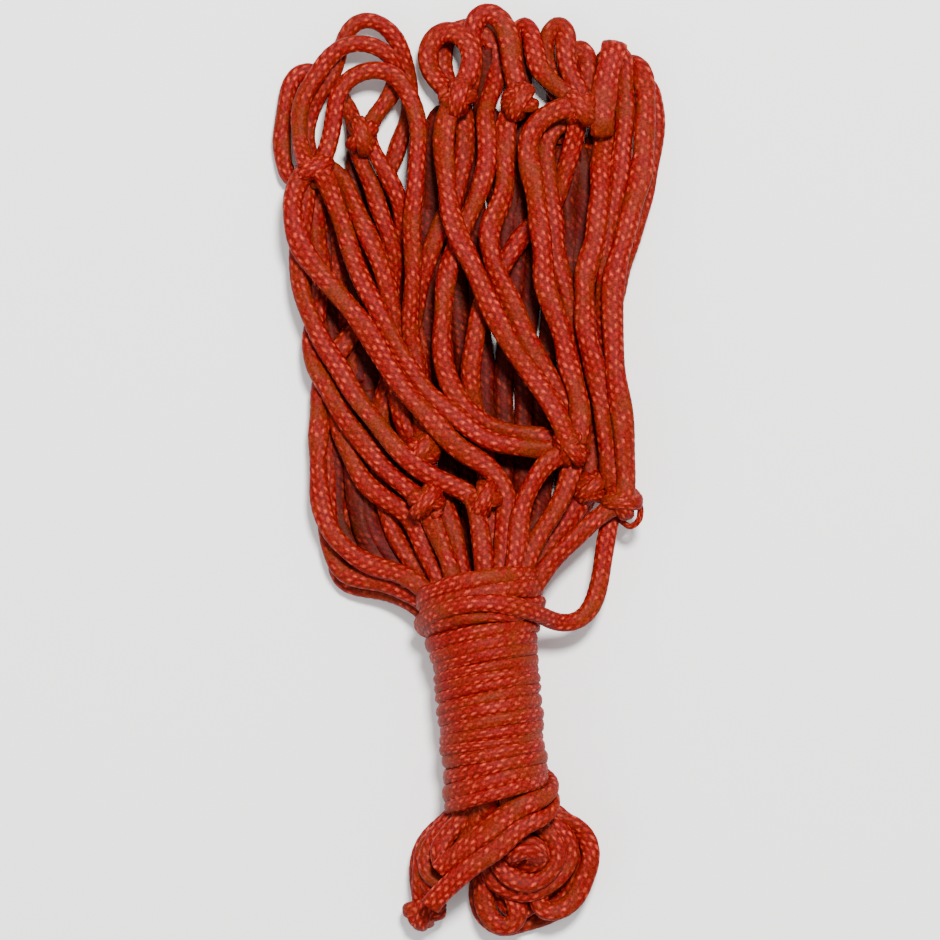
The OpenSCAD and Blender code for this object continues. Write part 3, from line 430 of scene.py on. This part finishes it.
# Filler with no CAD part: guessed lower runs, which the turns above them nearly hide
PACKED = {
    "packed_runs_left": [
        [(-26.5, 20, 0.3), (-26, 8, 0.5), (-25.5, -4, 0.5), (-24, -14, 0.6), (-20, -21, 0.8),
         (-15, -26, 1)],
        [(-21.5, 14, 0.4), (-20, 2, 0.4), (-18, -8, 0.5), (-14.5, -16, 0.8), (-11, -24, 1)],
        [(-29, 2, 0.6), (-28, -11, 0.6), (-25.5, -19, 0.7), (-20, -25, 0.9), (-14, -29.5, 1.1)],
        [(-29.5, 62, 0), (-29.2, 52, 0), (-28.7, 42, 0), (-28, 32, 0), (-27.5, 22, 0)],
        [(-37, 60, 0), (-36, 48, 0), (-34.8, 40, 0), (-33.8, 32, 0), (-33, 22, 0), (-32.5, 8, 0)],
        [(-32.5, 8, 0), (-33.5, -2, 0), (-33.3, -11, 0), (-31, -18, 0.2), (-27, -23, 0.4)],
        [(-41, 66, 0.4), (-40.5, 54, 0.4), (-39.5, 44, 0.3), (-37.5, 36, 0.2), (-35, 26, 0), (-34, 12, 0)]],
    "packed_runs_middle": [
        [(-12.3, 88, 0), (-12.3, 78, 0), (-13, 68, 0), (-14.5, 58, 0), (-16.5, 48, 0), (-17, 38, 0),
         (-16.5, 28, 0),
         (-16, 18, 0), (-15, 6, 0), (-13, -6, 0.2), (-9, -18, 0.8)],
        [(-21.5, 74, 0), (-21, 64, 0), (-21.5, 54, 0), (-23, 46, 0)],
        [(-10.5, 66, 0), (-11, 56, 0), (-10.8, 46, 0), (-10.3, 38, 0), (-9.6, 30, 0), (-9, 20, 0),
         (-8.8, 8, 0)],
        [(9.6, 82, 0), (9.8, 70, 0), (9.6, 60, 0), (9.2, 50, 0), (8.2, 40, 0)],
        [(3.5, 106, 0.1), (4, 100, 0), (3.5, 94, 0), (3, 86, 0.2)],
        [(13, 106, 0), (13, 100, 0), (13, 95, 0), (12.5, 88, 0.2)],
        [(22, 101, 0), (22, 96, 0), (21.5, 90, 0), (21, 82, 0.2)]],
    "packed_runs_right": [
        [(25.6, 82, 0), (25.6, 70, 0), (25.3, 60, 0), (24.6, 50, 0), (23.5, 41, 0)],
        [(31.5, 84, 0), (32.3, 76, 0), (32.5, 68, 0), (32, 58, 0), (31.5, 48, 0), (30.5, 40, 0),
         (29.5, 28, 0.2)],
        [(36.5, 92, 0), (37.5, 84, 0), (38, 76, 0), (38, 68, 0.2), (36.5, 58, 0.2), (34, 48, 0.3)],
        [(28, -2, 0.2), (24, -11, 0.6), (19.5, -18, 1), (15, -24, 1.4)]]}
UNDER = {
    "base_loop_right": [
        [(15, -82, 1.2), (23, -87, 1.3), (27.9, -92, 1.2), (28.3, -98, 1.1), (26.3, -103, 1),
         (24, -107.5, 1),
         (18.5, -110, 1)]],
    "base_loop_back": [
        [(14, -82, 0.5), (21, -87, 0.3), (26.8, -90.5, 0.2), (30, -95, 0.1), (29.8, -99.5, 0),
         (27.2, -104, 0),
         (26, -108, 0), (20.5, -111.5, 0), (14, -114, 0), (8, -115, 0), (3.5, -112, 0), (1.8, -107, 0.2),
         (2.3, -100, 0.4), (2, -93, 0.6), (2.5, -86, 0.7)],
        [(8, -84, 1), (9, -90, 0.9), (12, -93, 0.8), (17, -92, 0.7), (19.5, -96, 0.6), (17, -100, 0.5),
         (12, -99.5, 0.6), (9.5, -96, 0.8)]],
    "base_loop_left": [
        [(1, -84, 3.1), (-3, -88, 3.2), (-6, -91.5, 3.2), (-7.6, -95, 3.3), (-6.5, -98.4, 3.3),
         (-3.6, -98.8, 3.3),
         (-2.2, -96.2, 3.1), (-3.6, -94, 2.6)],
        [(-3.5, -86, 2.1), (-8, -90.5, 2), (-11.3, -95, 1.9), (-12.2, -100, 1.9), (-12.3, -105, 1.6),
         (-12, -109, 1.2)],
        [(-4, -84, 1.6), (-5, -92, 1.8), (-8, -98, 2.1), (-10.5, -103, 2), (-8.5, -106, 1.8)]],
    "base_ring_outer": [
        [(13, -84, 2.2), (8, -90, 2.2), (4.8, -96, 2.2), (6, -102.5, 2.1), (11.5, -105.5, 2.1),
         (17.5, -105, 2.2),
         (23, -101, 2.2), (25, -95, 2.2), (22.5, -90, 2.3), (17, -86, 2.4)]],
    "base_ring_inner": [
        [(10.3, -98, 2.3), (11.6, -95.8, 3.6), (14.5, -95, 3.9), (17.2, -96.8, 3.3), (17, -99.5, 2)]],
    "base_loop_low_left": [
        [(-2, -84, 0.6), (-6.5, -89, 0.6), (-8.5, -94, 0.5), (-7.5, -99, 0.4), (-4, -101, 0.3),
         (-0.5, -98, 0.3),
         (0.5, -92, 0.5), (1, -86, 0.6)],
        [(-7.5, -98, 1.7), (-9, -103, 1.5), (-9.2, -107.5, 1.1), (-9.8, -111.5, 0.6)]],
    "base_loop_bottom": [
        [(6.5, -80, 3.3), (6, -85, 3.5), (5, -90, 3.3), (3.6, -95, 2.8), (3, -100, 2.5)],
        [(2.2, -80, 3.4), (1.8, -85, 3.5), (1, -90, 3.2), (0.3, -95, 2.7), (1, -100, 2)],
        [(-1.5, -80, 3), (-2, -85, 3.1), (-2.3, -90, 2.9), (-2, -94, 2.4)],
        [(10, -80, 3.8), (9.6, -85, 3.9), (8, -89, 3.6), (6.5, -93, 3.1)],
        [(4.2, -80, 2.6), (3.8, -86, 2.8), (2.5, -92, 2.5), (2, -98, 1.8), (4, -104, 1.3)],
        [(9, -84, 2), (9, -90, 1.9), (6.5, -96, 1.9), (6.3, -102, 1.3), (7.5, -107, 0.9), (12, -110.5, 0.9),
         (17, -108, 0.8), (20, -103, 0.6)]],
}


def in_mm(points):
    """Points given as x, y and layer, in millimetres."""
    return np.array([(x, y, layer_z(layer)) for x, y, layer in points], float)


def route(table, name):
    """The whole route of a cord in millimetres, with what goes on past its CAD ends."""
    before, after = [], []
    for extra in (TUCKS, LEADS):
        if name in extra:
            before = before + extra[name][0]
            after = after + extra[name][1]
    return in_mm(before + table[name] + after)


# ---------------------------------------------------------------- curves

def spaced(p, step):
    """The same line with points one step apart."""
    d = np.r_[0.0, np.cumsum(np.linalg.norm(np.diff(p, axis=0), axis=1))]
    n = max(3, int(round(d[-1] / step)) + 1)
    t = np.linspace(0.0, d[-1], n)
    return np.stack([np.interp(t, d, p[:, k]) for k in range(3)], axis=1)


def curve(p, step):
    """A centripetal Catmull-Rom curve through the points."""
    e = np.vstack([2 * p[0] - p[1], p, 2 * p[-1] - p[-2]])
    out = []
    for i in range(len(p) - 1):
        a, b, c, d = e[i:i + 4]
        t0 = 0.0
        t1 = t0 + max(np.linalg.norm(b - a), 1e-3) ** 0.5
        t2 = t1 + max(np.linalg.norm(c - b), 1e-3) ** 0.5
        t3 = t2 + max(np.linalg.norm(d - c), 1e-3) ** 0.5
        t = np.linspace(t1, t2, 14, endpoint=False)[:, None]
        p1 = (t1 - t) / (t1 - t0) * a + (t - t0) / (t1 - t0) * b
        p2 = (t2 - t) / (t2 - t1) * b + (t - t1) / (t2 - t1) * c
        p3 = (t3 - t) / (t3 - t2) * c + (t - t2) / (t3 - t2) * d
        q1 = (t2 - t) / (t2 - t0) * p1 + (t - t0) / (t2 - t0) * p2
        q2 = (t3 - t) / (t3 - t1) * p2 + (t - t1) / (t3 - t1) * p3
        out.append((t2 - t) / (t2 - t1) * q1 + (t - t1) / (t2 - t1) * q2)
    out.append(p[-1:])
    return spaced(np.vstack(out), step)


def wave(s, seed, scale):
    """Smooth noise along a line, about -1 to 1."""
    r = np.random.RandomState(seed)
    k = r.uniform(0.5, 1.6, 4) * 2 * math.pi / scale
    f = r.uniform(0, 2 * math.pi, 4)
    w = np.array([1.0, 0.8, 0.6, 0.5])
    return (w[:, None] * np.sin(k[:, None] * s[None, :] + f[:, None])).sum(0) / 1.6


# ---------------------------------------------------------------- settling the cords

def settle(lines, rounds=140, step=1.6, width=4.7):
    """Lets the cords rest on each other and on the floor, close to their routes."""
    flat = width / 3.55
    x = np.vstack(lines)
    home = x.copy()
    who = np.concatenate([np.full(len(p), i) for i, p in enumerate(lines)])
    place = np.concatenate([np.arange(len(p)) for p in lines])
    inner = np.concatenate([np.r_[False, np.ones(len(p) - 2, bool), False] for p in lines])
    idx = np.where(inner)[0]
    inside = (x[:, 1] < NECK_Y[0]) & (x[:, 1] > NECK_Y[1])
    free = ~inside
    sc = np.array([1.0, 1.0, flat])
    pairs = None
    for k in range(rounds):
        if k % 12 == 0:
            y = x * sc
            found = []
            for a in range(0, len(y), 500):
                d2 = ((y[a:a + 500, None, :] - y[None, :, :]) ** 2).sum(2)
                i, j = np.where(d2 < (width + 1.6) ** 2)
                i = i + a
                keep = (i < j) & ((who[i] != who[j]) | (abs(place[i] - place[j]) > 1.9 * width / step))
                found.append(np.stack([i[keep], j[keep]]))
            pairs = np.concatenate(found, axis=1)
            pairs = pairs[:, free[pairs[0]] | free[pairs[1]]]
        i, j = pairs
        v = (x[i] - x[j]) * sc
        d = np.maximum(np.linalg.norm(v, axis=1), 1e-4)
        close = d < width
        i, j, v, d = i[close], j[close], v[close], d[close]
        push = v / d[:, None] * ((width - d) * 0.32)[:, None] / sc
        push[:, :2] *= 0.55
        move = np.zeros_like(x)
        count = np.zeros(len(x))
        np.add.at(move, i, push)
        np.add.at(move, j, -push)
        np.add.at(count, i, 1)
        np.add.at(count, j, 1)
        x += np.where(free[:, None], move / np.maximum(count, 1)[:, None] * 1.4, 0)
        x[:, :2] += 0.06 * (home - x)[:, :2]
        x[:, 2] += 0.012 * (home - x)[:, 2] - np.where(free, 0.02, 0)
        x[idx] += 0.22 * (0.5 * (x[idx - 1] + x[idx + 1]) - x[idx])
        x[:, 2] = np.maximum(x[:, 2], CORD_T / 2 + 0.15)
    out, a = [], 0
    for p in lines:
        out.append(x[a:a + len(p)])
        a += len(p)
    return out


# ---------------------------------------------------------------- sweeping a braid

LEAD = 23.0         # one turn of a yarn round the cord
CARRIERS = 10       # yarns each way


def braid(theta, s):
    """Height of the braid's surface, 0 to 1, a steady random number for each float, and its crown."""
    a = CARRIERS * (theta / (2 * math.pi) + s / LEAD)
    b = CARRIERS * (theta / (2 * math.pi) - s / LEAD)
    ia, ib = np.floor(a), np.floor(b)
    fa, fb = a - ia, b - ib
    m = np.mod(ia + ib, 4)
    over = m < 2
    along = np.where(over, (m + fb) / 2, (m - 2 + fa) / 2)
    across = np.where(over, fa, fb)
    h = np.sqrt(np.clip(1 - (2 * across - 1) ** 2, 0, 1)) * np.sin(math.pi * along) ** 0.45
    key = np.where(over, np.mod(ia, CARRIERS) * 57 + np.floor((ia + ib) / 4) * 131,
                   np.mod(ib, CARRIERS) * 91 + np.floor((ia + ib) / 4) * 211 + 17)
    r = np.mod(np.sin(key * 12.9898) * 43758.5453, 1.0)
    crown = np.clip(1 - (2 * across - 1) ** 2, 0, 1) * np.sin(math.pi * along) ** 2.5
    return h, r, crown


def section(n, w, t, power=2.3):
    """Points evenly spaced round a flattened section, and their outward normals."""
    a = np.linspace(0, 2 * math.pi, 721)
    c, s = np.cos(a), np.sin(a)
    x = w / 2 * np.sign(c) * abs(c) ** (2 / power)
    y = t / 2 * np.sign(s) * abs(s) ** (2 / power)
    d = np.r_[0, np.cumsum(np.hypot(np.diff(x), np.diff(y)))]
    u = np.linspace(0, d[-1], n, endpoint=False)
    px, py = np.interp(u, d, x), np.interp(u, d, y)
    q = np.stack([px, py], 1)
    tan = np.roll(q, -1, 0) - np.roll(q, 1, 0)
    nor = np.stack([tan[:, 1], -tan[:, 0]], 1)
    return q, nor / np.linalg.norm(nor, axis=1)[:, None]


def turned_sides(tan, want):
    """The sideways direction at each point, following the wanted face without a sudden turn."""
    side = np.cross(tan, want)
    last = None
    for i in range(len(tan)):
        v = side[i]
        size = np.linalg.norm(v)
        if last is not None:
            old = last - tan[i] * (last @ tan[i])
            old /= max(np.linalg.norm(old), 1e-9)
            v = v / max(size, 1e-9)
            if v @ old < 0 and size < 0.5:
                v = -v
            pull = min(size, 1.0) * 0.12
            v = old * (1 - pull) + v * pull
        v = v - tan[i] * (v @ tan[i])
        last = v / max(np.linalg.norm(v), 1e-9)
        side[i] = last
    return side


def mesh_object(name, verts, cols, faces, material):
    """An object from vertices in millimetres; a face whose last two corners agree is a triangle."""
    v = np.vstack(verts) * MM
    c = np.vstack(cols)
    quads = np.vstack([f for f in faces if f[0, 2] != f[0, 3]])
    tris = np.vstack([f[:, :3] for f in faces if f[0, 2] == f[0, 3]])
    mesh = bpy.data.meshes.new(name)
    mesh.vertices.add(len(v))
    mesh.vertices.foreach_set("co", v.astype(np.float32).ravel())
    loops = np.concatenate([quads.ravel(), tris.ravel()]).astype(np.int32)
    starts = np.concatenate([np.arange(len(quads)) * 4, len(quads) * 4 + np.arange(len(tris)) * 3])
    mesh.loops.add(len(loops))
    mesh.loops.foreach_set("vertex_index", loops)
    mesh.polygons.add(len(starts))
    mesh.polygons.foreach_set("loop_start", starts.astype(np.int32))
    mesh.polygons.foreach_set("use_smooth", np.ones(len(starts), bool))
    mesh.update(calc_edges=True)
    mesh.validate()
    attribute = mesh.attributes.new("braid", "FLOAT_COLOR", "POINT")
    attribute.data.foreach_set("color", c.astype(np.float32).ravel())
    mesh.materials.append(material)
    o = bpy.data.objects.new(name, mesh)
    bpy.context.scene.collection.objects.link(o)
    return o


WANDER = 0.17           # how far a slack cord strays to either side of its route
WANDER_LENGTH = 22.0


def cord_mesh(name, lines, material, sides=36, step=0.5, relief=0.16, seed=1):
    """One mesh of swept cords. Each line is (points, width, thickness, face normals or None)."""
    verts, cols, faces = [], [], []
    base = 0
    for li, (p, w, t, facing) in enumerate(lines):
        p = spaced(p, step)
        n = len(p)
        if facing is None:
            # a slack cord wanders a little to either side of its route
            go = np.gradient(p, axis=0)
            beside = np.cross(go / np.linalg.norm(go, axis=1)[:, None], UP)
            p = p + WANDER * beside * wave(np.arange(n) * step, seed * 5 + li, WANDER_LENGTH)[:, None]
        tan = np.gradient(p, axis=0)
        tan /= np.linalg.norm(tan, axis=1)[:, None]
        s = np.r_[0.0, np.cumsum(np.linalg.norm(np.diff(p, axis=0), axis=1))]
        if facing is None:
            want = np.tile(UP, (n, 1))
        else:
            f = np.linspace(0, 1, len(facing))
            want = np.stack([np.interp(np.linspace(0, 1, n), f, facing[:, k]) for k in range(3)], 1)
        side = turned_sides(tan, want)
        over = np.cross(side, tan)
        roll = 0.42 * wave(s, seed * 7 + li, 40.0) if facing is None else 0.10 * wave(s, seed * 7 + li,
                                                                                      30.0)
        a, b = np.cos(roll)[:, None], np.sin(roll)[:, None]
        side, over = side * a + over * b, over * a - side * b
        if np.ndim(w):
            w_at = np.interp(np.linspace(0, 1, n), np.linspace(0, 1, len(w)), w)
        else:
            w_at = np.full(n, float(w))
        q, nor = section(sides, w_at.mean(), t)
        theta = np.linspace(0, 2 * math.pi, sides, endpoint=False)
        size = w_at / w_at.mean() * (1 + 0.07 * wave(s, seed * 13 + li, 19.0))
        twist = 0.25 * np.sin(s / 31.0 + seed)[:, None]
        h, r, crown = braid(theta[None, :] + twist, s[:, None] + 0 * theta[None, :])
        # painted highlight: glints on some of the yarns' crowns, put into the colour attribute
        crown_glint = np.clip(crown * 1.9 - 0.85, 0, 1) * np.clip(r * 1.9 - 0.45, 0, 1)
        lift = relief * (h - 0.6)
        qx = q[None, :, 0] * size[:, None] + nor[None, :, 0] * lift
        qy = q[None, :, 1] * (2 - size / (w_at / w_at.mean()))[:, None] + nor[None, :, 1] * lift
        v = p[:, None, :] + side[:, None, :] * qx[:, :, None] + over[:, None, :] * qy[:, :, None]
        v[:, :, 2] = np.maximum(v[:, :, 2], 0.0)    # nothing sinks into the floor
        # painted sheen: a slow wave along the cord that makes stretches browner
        brown_sheen = 0.5 + 0.5 * wave(s, seed * 3 + li, 37.0)
        verts.append(v.reshape(-1, 3))
        # the colour attribute: surface height (painted shade in the hollows), painted crown glints, painted
        # brown sheen
        look = np.stack([h, crown_glint, np.tile(brown_sheen[:, None], (1, sides)), np.ones_like(h)], 2)
        cols.append(look.reshape(-1, 4))
        i = np.arange(n - 1)[:, None] * sides
        k = np.arange(sides)[None, :]
        k2 = (k + 1) % sides
        faces.append((np.stack([i + k, i + k2, i + sides + k2, i + sides + k], 2) + base).reshape(-1, 4))
        base += n * sides
        for end, ring in ((p[0], 0), (p[-1], n - 1)):
            verts.append(end[None, :])
            cols.append(np.array([[0.3, 0.5, 0.5, 1.0]]))
            k = np.arange(sides)
            o = base - (n * sides) - (0 if ring == 0 else 1) + ring * sides
            a, b = o + k, o + (k + 1) % sides
            c = np.full(sides, base)
            tri = np.stack([c, b, a, a], 1) if ring == 0 else np.stack([c, a, b, b], 1)
            faces.append(tri)
            base += 1
    return mesh_object(name, verts, cols, faces, material)


# ---------------------------------------------------------------- the braid's material

def braid_material(name, tone=1.0):
    m = bpy.data.materials.new(name)
    m.use_nodes = True
    nt = m.node_tree
    b = nt.nodes["Principled BSDF"]

    att = nt.nodes.new("ShaderNodeAttribute")
    att.attribute_name = "braid"
    split = nt.nodes.new("ShaderNodeSeparateColor")
    nt.links.new(att.outputs["Color"], split.inputs[0])
    # the cord's red with painted shade: darker in the braid's hollows, brighter on its crowns, by the
    # surface height
    ramp = nt.nodes.new("ShaderNodeValToRGB")
    ramp.color_ramp.elements[0].position = 0.0
    ramp.color_ramp.elements[0].color = (0.055 * tone, 0.0006 * tone, 0.0006 * tone, 1)
    ramp.color_ramp.elements[1].position = 0.95
    ramp.color_ramp.elements[1].color = (0.195 * tone, 0.0024 * tone, 0.0014 * tone, 1)
    nt.links.new(split.outputs[0], ramp.inputs[0])
    # painted highlight: glints on the yarns' crowns, in rows along the cord
    mix1 = nt.nodes.new("ShaderNodeMix")
    mix1.data_type = "RGBA"
    mix1.inputs[7].default_value = (0.50 * tone, 0.055 * tone, 0.022 * tone, 1)
    nt.links.new(split.outputs[1], mix1.inputs[0])
    nt.links.new(ramp.outputs[0], mix1.inputs[6])
    # painted sheen: stretches that are browner, laid at random along the cord
    noise = nt.nodes.new("ShaderNodeTexNoise")
    noise.inputs["Scale"].default_value = 240.0
    noise.inputs["Detail"].default_value = 3.0
    coord = nt.nodes.new("ShaderNodeTexCoord")
    nt.links.new(coord.outputs["Object"], noise.inputs["Vector"])
    brown = nt.nodes.new("ShaderNodeMath")
    brown.operation = "MULTIPLY"
    spread = nt.nodes.new("ShaderNodeMapRange")
    spread.inputs["From Min"].default_value = 0.38
    spread.inputs["From Max"].default_value = 0.62
    nt.links.new(noise.outputs["Fac"], spread.inputs["Value"])
    nt.links.new(spread.outputs[0], brown.inputs[0])
    nt.links.new(split.outputs[2], brown.inputs[1])
    mix2 = nt.nodes.new("ShaderNodeMix")
    mix2.data_type = "RGBA"
    mix2.inputs[7].default_value = (0.125 * tone, 0.011 * tone, 0.0012 * tone, 1)
    nt.links.new(brown.outputs[0], mix2.inputs[0])
    nt.links.new(mix1.outputs[2], mix2.inputs[6])
    # single filaments, lighter and darker, finer than a yarn
    grain = nt.nodes.new("ShaderNodeTexNoise")
    grain.inputs["Scale"].default_value = 1900.0
    grain.inputs["Detail"].default_value = 2.0
    nt.links.new(coord.outputs["Object"], grain.inputs["Vector"])
    shade = nt.nodes.new("ShaderNodeMapRange")
    shade.inputs["From Min"].default_value = 0.35
    shade.inputs["From Max"].default_value = 0.65
    shade.inputs["To Min"].default_value = 0.62
    shade.inputs["To Max"].default_value = 1.35
    nt.links.new(grain.outputs["Fac"], shade.inputs["Value"])
    filaments = nt.nodes.new("ShaderNodeVectorMath")
    filaments.operation = "SCALE"
    nt.links.new(mix2.outputs[2], filaments.inputs[0])
    nt.links.new(shade.outputs[0], filaments.inputs["Scale"])
    nt.links.new(filaments.outputs[0], b.inputs["Base Color"])
    b.inputs["Roughness"].default_value = 0.6
    b.inputs["Specular IOR Level"].default_value = 0.09
    fuzz = nt.nodes.new("ShaderNodeTexNoise")
    fuzz.inputs["Scale"].default_value = 1500.0
    nt.links.new(coord.outputs["Object"], fuzz.inputs["Vector"])
    bump = nt.nodes.new("ShaderNodeBump")
    bump.inputs["Strength"].default_value = 0.25
    bump.inputs["Distance"].default_value = 0.0003
    nt.links.new(fuzz.outputs["Fac"], bump.inputs["Height"])
    nt.links.new(bump.outputs[0], b.inputs["Normal"])
    return m


net_material = braid_material("NetCord")
draw_material = braid_material("DrawCord", 1.04)
# painted shade: a darker copy of the net's cord, for the runs that lie deep under the bundle
shaded_cord_material = braid_material("ShadedNetCord", 0.42)

# ---------------------------------------------------------------- laying the net

names = list(FAN) + list(BASE) + list(TAILS)
tables = {**{n: FAN for n in FAN}, **{n: BASE for n in BASE}, **{n: TAILS for n in TAILS}}
laid = dict(zip(names, settle([curve(route(tables[n], n), 1.6) for n in names])))
laid = {n: curve(p[::2] if len(p) % 2 else np.vstack([p[::2], p[-1:]]), 0.8) for n, p in laid.items()}


def usual_section(name):
    """The braid's width and thickness: it flattens under the bundle, at the foot and where it is free."""
    if name.startswith("back_run"):
        return 5.2, CORD_T
    if name in TAILS:
        return 5.5, 3.0
    if name in BASE:
        return 4.9, 3.3
    return CORD_W, CORD_T


for k, n in enumerate(names):
    low = n.startswith("back_run")
    w, t = SECTIONS.get(n, usual_section(n))
    facing = None
    if n == "folded_loop_right":
        # the band folds over flat, so its faces turn with it
        tan = np.gradient(laid[n], axis=0)
        facing = np.cross(tan / np.linalg.norm(tan, axis=1)[:, None], (1.0, 0.0, 0.0))
    # the back runs take the darker copy of the cord, painted shade
    material = draw_material if n.startswith("draw_cord") else shaded_cord_material if low else net_material
    lines = [(laid[n], w, t, facing)]
    for extra in UNDER.get(n, []):
        lines.append((curve(in_mm(extra), 0.8), 4.5, 3.3, None))
    o = cord_mesh(n + "_braid", lines, material, sides=20 if low else 36, step=1.0 if low else 0.5,
                  seed=k + 3)
    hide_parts(n)
    if n in TAILS:
        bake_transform(o)
    elif n in BASE:
        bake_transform(o)
    elif laid[n][:, 1].min() < -24:
        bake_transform(o)
    else:
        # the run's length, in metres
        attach(o, "mesh_fan")
    # the fan's and the draw cord's runs are declared where they are long enough to be;
    # the loops at the foot, whose pieces hold extra strands, are not
    p = laid[n] * MM
    length = float(np.linalg.norm(np.diff(p, axis=0), axis=1).sum())

# the filler runs are pieces of their own, under the cords of the fan
for k, (n, runs) in enumerate(PACKED.items()):
    lines = [(curve(in_mm(run), 0.8), 5.2, 3.3, None) for run in runs]
    # the filler runs take the darker copy of the cord, painted shade
    o = cord_mesh(n, lines, shaded_cord_material, sides=20, step=1.0, seed=k + 140)
    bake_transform(o)

# ---------------------------------------------------------------- knots

def collar(centre, axis, length, w, h, turns, phase=0.0):
    """Cord wound round a bundle of cords at a knot."""
    axis = np.array([axis[0], axis[1], 0.0]) / math.hypot(*axis)
    side = np.cross(UP, axis)
    u = np.linspace(-0.5, 0.5, 60)
    a = phase + u * turns * 2 * math.pi
    return (centre[None, :] + axis[None, :] * (u * length)[:, None]
            + side[None, :] * (w * np.cos(a))[:, None] + UP[None, :] * (h * np.sin(a))[:, None])


# Each knot: the way its cords run, in degrees, and its length
KNOT_LIE = {
    "knot_upper_1": (40, 5.5), "knot_upper_2": (-55, 4.5), "knot_upper_3": (95, 4.5),
    "knot_upper_4": (80, 4.5),
    "knot_upper_5": (-35, 4.5), "knot_lower_1": (75, 4.5), "knot_lower_2": (70, 5), "knot_lower_3": (85, 5),
    "knot_lower_4": (-30, 5), "knot_lower_5": (20, 5.5), "knot_lower_6": (60, 5), "base_knot": (95, 4.5)}
for k, (n, (x, y, lay)) in enumerate(KNOTS.items()):
    angle, length = KNOT_LIE[n]
    c = np.array([x, y, layer_z(lay) + 0.5])
    ax = np.array([math.cos(math.radians(angle)), math.sin(math.radians(angle))])
    big = 1.2 if n == "base_knot" else 1.0
    one = collar(c, ax, length * 0.62 * big, 3.5 * big, 3.0, 1.25 * big, 0.6 + k)
    tilt = math.radians(angle + 62)
    two = collar(c + np.array([0.0, 0.0, 0.6]), (math.cos(tilt), math.sin(tilt)), 2.0, 4.0, 3.2, 0.8, 1.57)
    way = np.r_[ax, 0]
    bent = curve(np.array([c - way * 3.4 - UP, c - way * 1.2 + UP * 2.6, c + way * 1.6 + UP * 2.6,
                           c + way * 3.8 - UP]), 0.5)
    lines = [(one, 3.9, 2.6, one - c[None, :]), (two, 3.9, 2.5, two - c[None, :]), (bent, 4.4, 3.0, None)]
    if n == "knot_lower_5":
        thin = curve(np.array([(40.5, -6.5, c[2]), (42.3, -9, c[2]), (42, -12.5, c[2] - 1),
                               (40, -14, c[2] - 2),
                               (37.5, -12.5, c[2] - 2)], float), 0.5)
        lines.append((thin, 1.5, 1.3, None))
    o = cord_mesh(n + "_turns", lines, net_material, sides=28, step=0.5, seed=k + 90)
    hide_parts(n)
    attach(o, "foot_loops" if n == "base_knot" else "mesh_fan")

# ---------------------------------------------------------------- the bound neck

def neck_point(along, angle, r):
    """A point on the neck's surface: angle 0 is to the right, 90 degrees is up."""
    return (NECK_TOP[None, :] + NECK_DIR[None, :] * along[:, None]
            + NECK_SIDE[None, :] * (r * np.cos(angle))[:, None] + UP[None, :] * (r * np.sin(angle))[:,
                                                                                                    None])


# Where each turn passes over the top, measured from the winding's upper end; the bight makes one more
TURNS_AT = (-1.2, 2.0, 7.6, 11.4, 14.6, 17.4, 20.4, 23.0, 25.3, 28.0, 31.0, 34.1, 37.0, 39.5, 41.9, 45.0,
            48.6, 51.6)
turn = np.linspace(-0.5, len(TURNS_AT) - 0.5, 2900)
a = math.radians(90) + turn * 2 * math.pi
last = len(TURNS_AT) - 1
along = np.interp(turn, np.arange(len(TURNS_AT)), TURNS_AT)
along += np.minimum(turn, 0) * 3.2 + np.maximum(turn - last, 0) * 3.0
# the turns lie askew, lower at the left, and arch over the top
along -= np.interp(turn, [0, 3, 14, last], [1.3, 0.7, 0.4, 2.0]) * np.cos(a)
along += np.interp(turn, [0, 3, 7, last], [2.2, 1.5, 0.8, 0.5]) * (1 - np.sin(a))
along += 0.34 * wave(turn * 10, 5, 8.0)
gap = np.interp(turn, np.arange(len(TURNS_AT)), np.gradient(np.array(TURNS_AT)))
wide = np.clip(gap * 1.12 + 0.5, 3.1, 5.6) + 0.3 * wave(turn * 10, 21, 11.0)
r = np.interp(along, [-3, 4, 11, 18, 42, 47, 54], [14.4, 14.4, 13.2, 11.8, 11.6, 11.9, 11.9])
r = r + 0.42 * wave(turn * 10, 8, 12.0) + 0.25 * np.sin(turn * 2.4 * math.pi)
winding = neck_point(along, a, r)
winding[:, 2] = NECK_TOP[2] + (winding[:, 2] - NECK_TOP[2]) * np.minimum(1.0, 12.3 / r)
winding[:, 2] = np.maximum(winding[:, 2], 1.7)
axis_at = NECK_TOP[None, :] + NECK_DIR[None, :] * along[:, None]
o = cord_mesh("draw_cord_winding_braid", [(winding, wide, 3.0, winding - axis_at)], draw_material,
              sides=30, step=0.6, relief=0.20, seed=50)
way = spaced(winding, 1.5) * MM
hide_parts("draw_cord_winding")
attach(o, "bound_neck")

OUTER_STRANDS = 9       # a ring of strands round a ring of four
INNER_STRANDS = 4
strands = []
for k in range(OUTER_STRANDS + INNER_STRANDS):
    if k < OUTER_STRANDS:
        angle, rr = 2 * math.pi * k / OUTER_STRANDS, 7.6
    else:
        angle, rr = 2 * math.pi * (k - OUTER_STRANDS) / INNER_STRANDS, 3.0
    n_pts = 30
    al = np.linspace(-1.0, NECK_LEN + 13.0, n_pts)
    dip = np.clip((al - NECK_LEN - 1.0) / 12.0, 0, 1)
    p = neck_point(al, np.full(n_pts, angle + 0.3) + al * 0.004, rr * (1 - 0.15 * dip))
    p[:, 2] -= dip ** 1.5 * np.maximum(p[:, 2] - 8.0, 0) * 0.8
    strands.append((curve(p, 1.0), 4.8, 4.0, None))
o = cord_mesh("packed_net_core_strands", strands, net_material, sides=18, step=1.0, relief=0.08, seed=70)
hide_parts("packed_net_core")
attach(o, "bound_neck")
